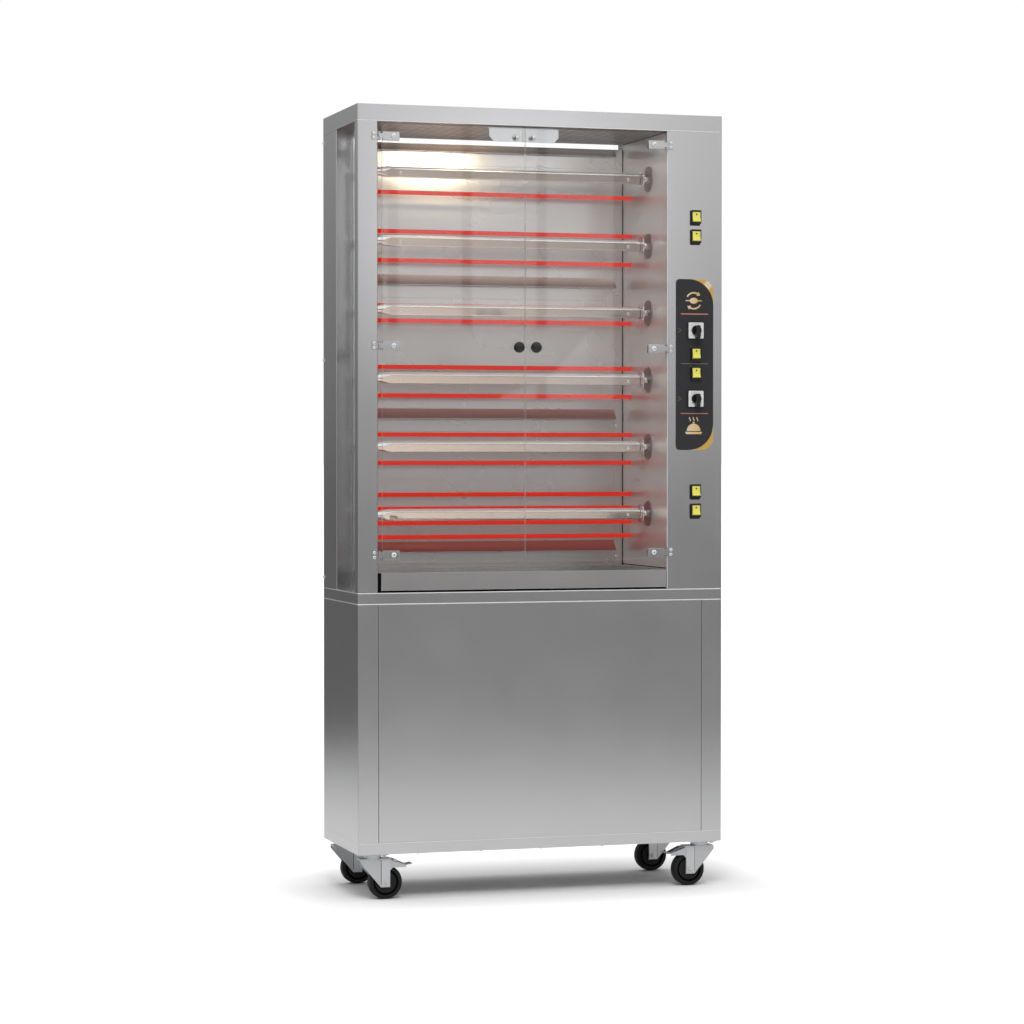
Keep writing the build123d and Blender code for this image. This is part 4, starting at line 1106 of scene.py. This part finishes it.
def make_window():
    """Bright window far in front of the doors, which only reflections show."""
    material = new_material("studio_window")
    show(material, add(material, "ShaderNodeEmission", Color=grey(1), Strength=1.6))
    y = -7.0
    low, sill, top = 1.60, 1.98, 3.12
    shapes = [rectangle(x0, x1, sill, top)
              for x0, x1 in ((1.298, 1.325), (1.380, 1.733), (1.788, 2.152), (2.209, 2.590))]
    shapes.append([(1.945, low), (2.152, low), (2.152, 1.70), (1.945, 1.62)])
    shapes.append([(2.209, low), (2.590, low), (2.590, sill), (2.453, sill), (2.271, 1.77), (2.209, 1.72)])
    bm = bmesh.new()
    for points in shapes:
        bm.faces.new([bm.verts.new((x, y, z)) for x, z in points])
    window = new_object("studio_window", bm, "studio_window")
    window.visible_camera = False
    window.visible_diffuse = False
    window.visible_shadow = False


def ramp(world, value, stops):
    """Grey ramp over a value, with (place, level) stops."""
    node = add(world, "ShaderNodeValToRGB", inputs=(value,))
    elements = node.color_ramp.elements
    for place, level in stops[2:]:
        elements.new(place)
    for element, (place, level) in zip(elements, stops):
        element.position = place
        element.color = (level, level, level, 1)
    return node.outputs["Color"]


# Levels of the studio by height, in front of the object, behind it and for soft light
front_stops = ((0.13, 0.34), (0.19, 0.35), (0.24, 0.48), (0.29, 0.75), (0.40, 0.96), (0.70, 1.0), (1.0, 1.0))
rear_stops = ((0.13, 0.16), (0.19, 0.16), (0.24, 0.23), (0.29, 0.34), (0.40, 0.5), (0.70, 0.9), (1.0, 1.0))
soft_stops = ((0.40, 0.0), (0.60, 0.25), (0.80, 1.0), (1.0, 1.7))


def make_world():
    """White studio: white to the camera and through glass, graded by height for light and reflections."""
    world = bpy.data.worlds.new("studio")
    world.use_nodes = True
    world.node_tree.nodes.clear()
    bpy.context.scene.world = world
    parts = position(world)[1]
    height = spread(world, parts["Z"], 0.0, 1.0, -0.25, 1.0)
    side = spread(world, parts["Y"], 0.0, 1.0, -0.4, 0.4, eased=True)
    studio = tinted(world, side, ramp(world, height, front_stops), ramp(world, height, rear_stops))
    sight = add(world, "ShaderNodeLightPath").outputs
    lit = tinted(world, sight["Is Glossy Ray"], ramp(world, height, soft_stops), studio)
    seen = worked(world, "MAXIMUM", sight["Is Camera Ray"], sight["Is Transmission Ray"])
    background = add(world, "ShaderNodeBackground", Color=tinted(world, seen, lit, grey(1)))
    add(world, "ShaderNodeOutputWorld", Surface=background.outputs[0])


def make_lamp(name, place, target, size, power, colour=(1, 1, 1), spread_angle=180):
    """Soft rectangular lamp at a place, turned towards a point."""
    data = bpy.data.lights.new(name, "AREA")
    data.shape = "RECTANGLE"
    data.size, data.size_y = size
    data.energy = power
    data.color = colour
    data.spread = math.radians(spread_angle)
    lamp = bpy.data.objects.new(name, data)
    lamp.location = place
    lamp.rotation_euler = (Vector(target) - Vector(place)).to_track_quat("-Z", "Y").to_euler()
    bpy.context.scene.collection.objects.link(lamp)
    return lamp


def make_lamps():
    """Key light over the front, a warm lamp under the cavity's ceiling and a faint strip behind the doors."""
    key = make_lamp("key", place=(-1.0, -3.6, 4.5), target=(0, 0, 1.0), size=(1.6, 1.6), power=80)
    key.visible_glossy = False
    warm_x = -0.16
    make_lamp("cavity_lamp", place=(warm_x, front + 0.04, roof - 0.03), target=(warm_x, back_low.y, 2.15),
              size=(0.22, 0.05), power=0.19, colour=(1.0, 0.82, 0.56), spread_angle=65)
    make_lamp("cavity_strip", place=(opening_middle, front + 0.03, roof - 0.012),
              target=(opening_middle, 0.1, 1.0), size=(0.85, 0.012), power=0.35)


def make_camera():
    """Camera at the photograph's place, looking the way it looked."""
    data = bpy.data.cameras.new("camera")
    data.sensor_width = sensor_width
    data.sensor_fit = "HORIZONTAL"
    data.lens = camera_lens
    data.clip_end = 1000
    camera = bpy.data.objects.new("camera", data)
    look = Vector(camera_look).normalized()
    side = look.cross(Vector((0, 0, 1))).normalized()
    turn = Matrix((side, side.cross(look), -look)).transposed()
    camera.matrix_world = Matrix.Translation(camera_place) @ turn.to_4x4()
    bpy.context.scene.collection.objects.link(camera)
    bpy.context.scene.camera = camera


make_floor()
make_window()
make_world()
make_lamps()
make_camera()

bpy.context.scene.view_settings.view_transform = "Standard"
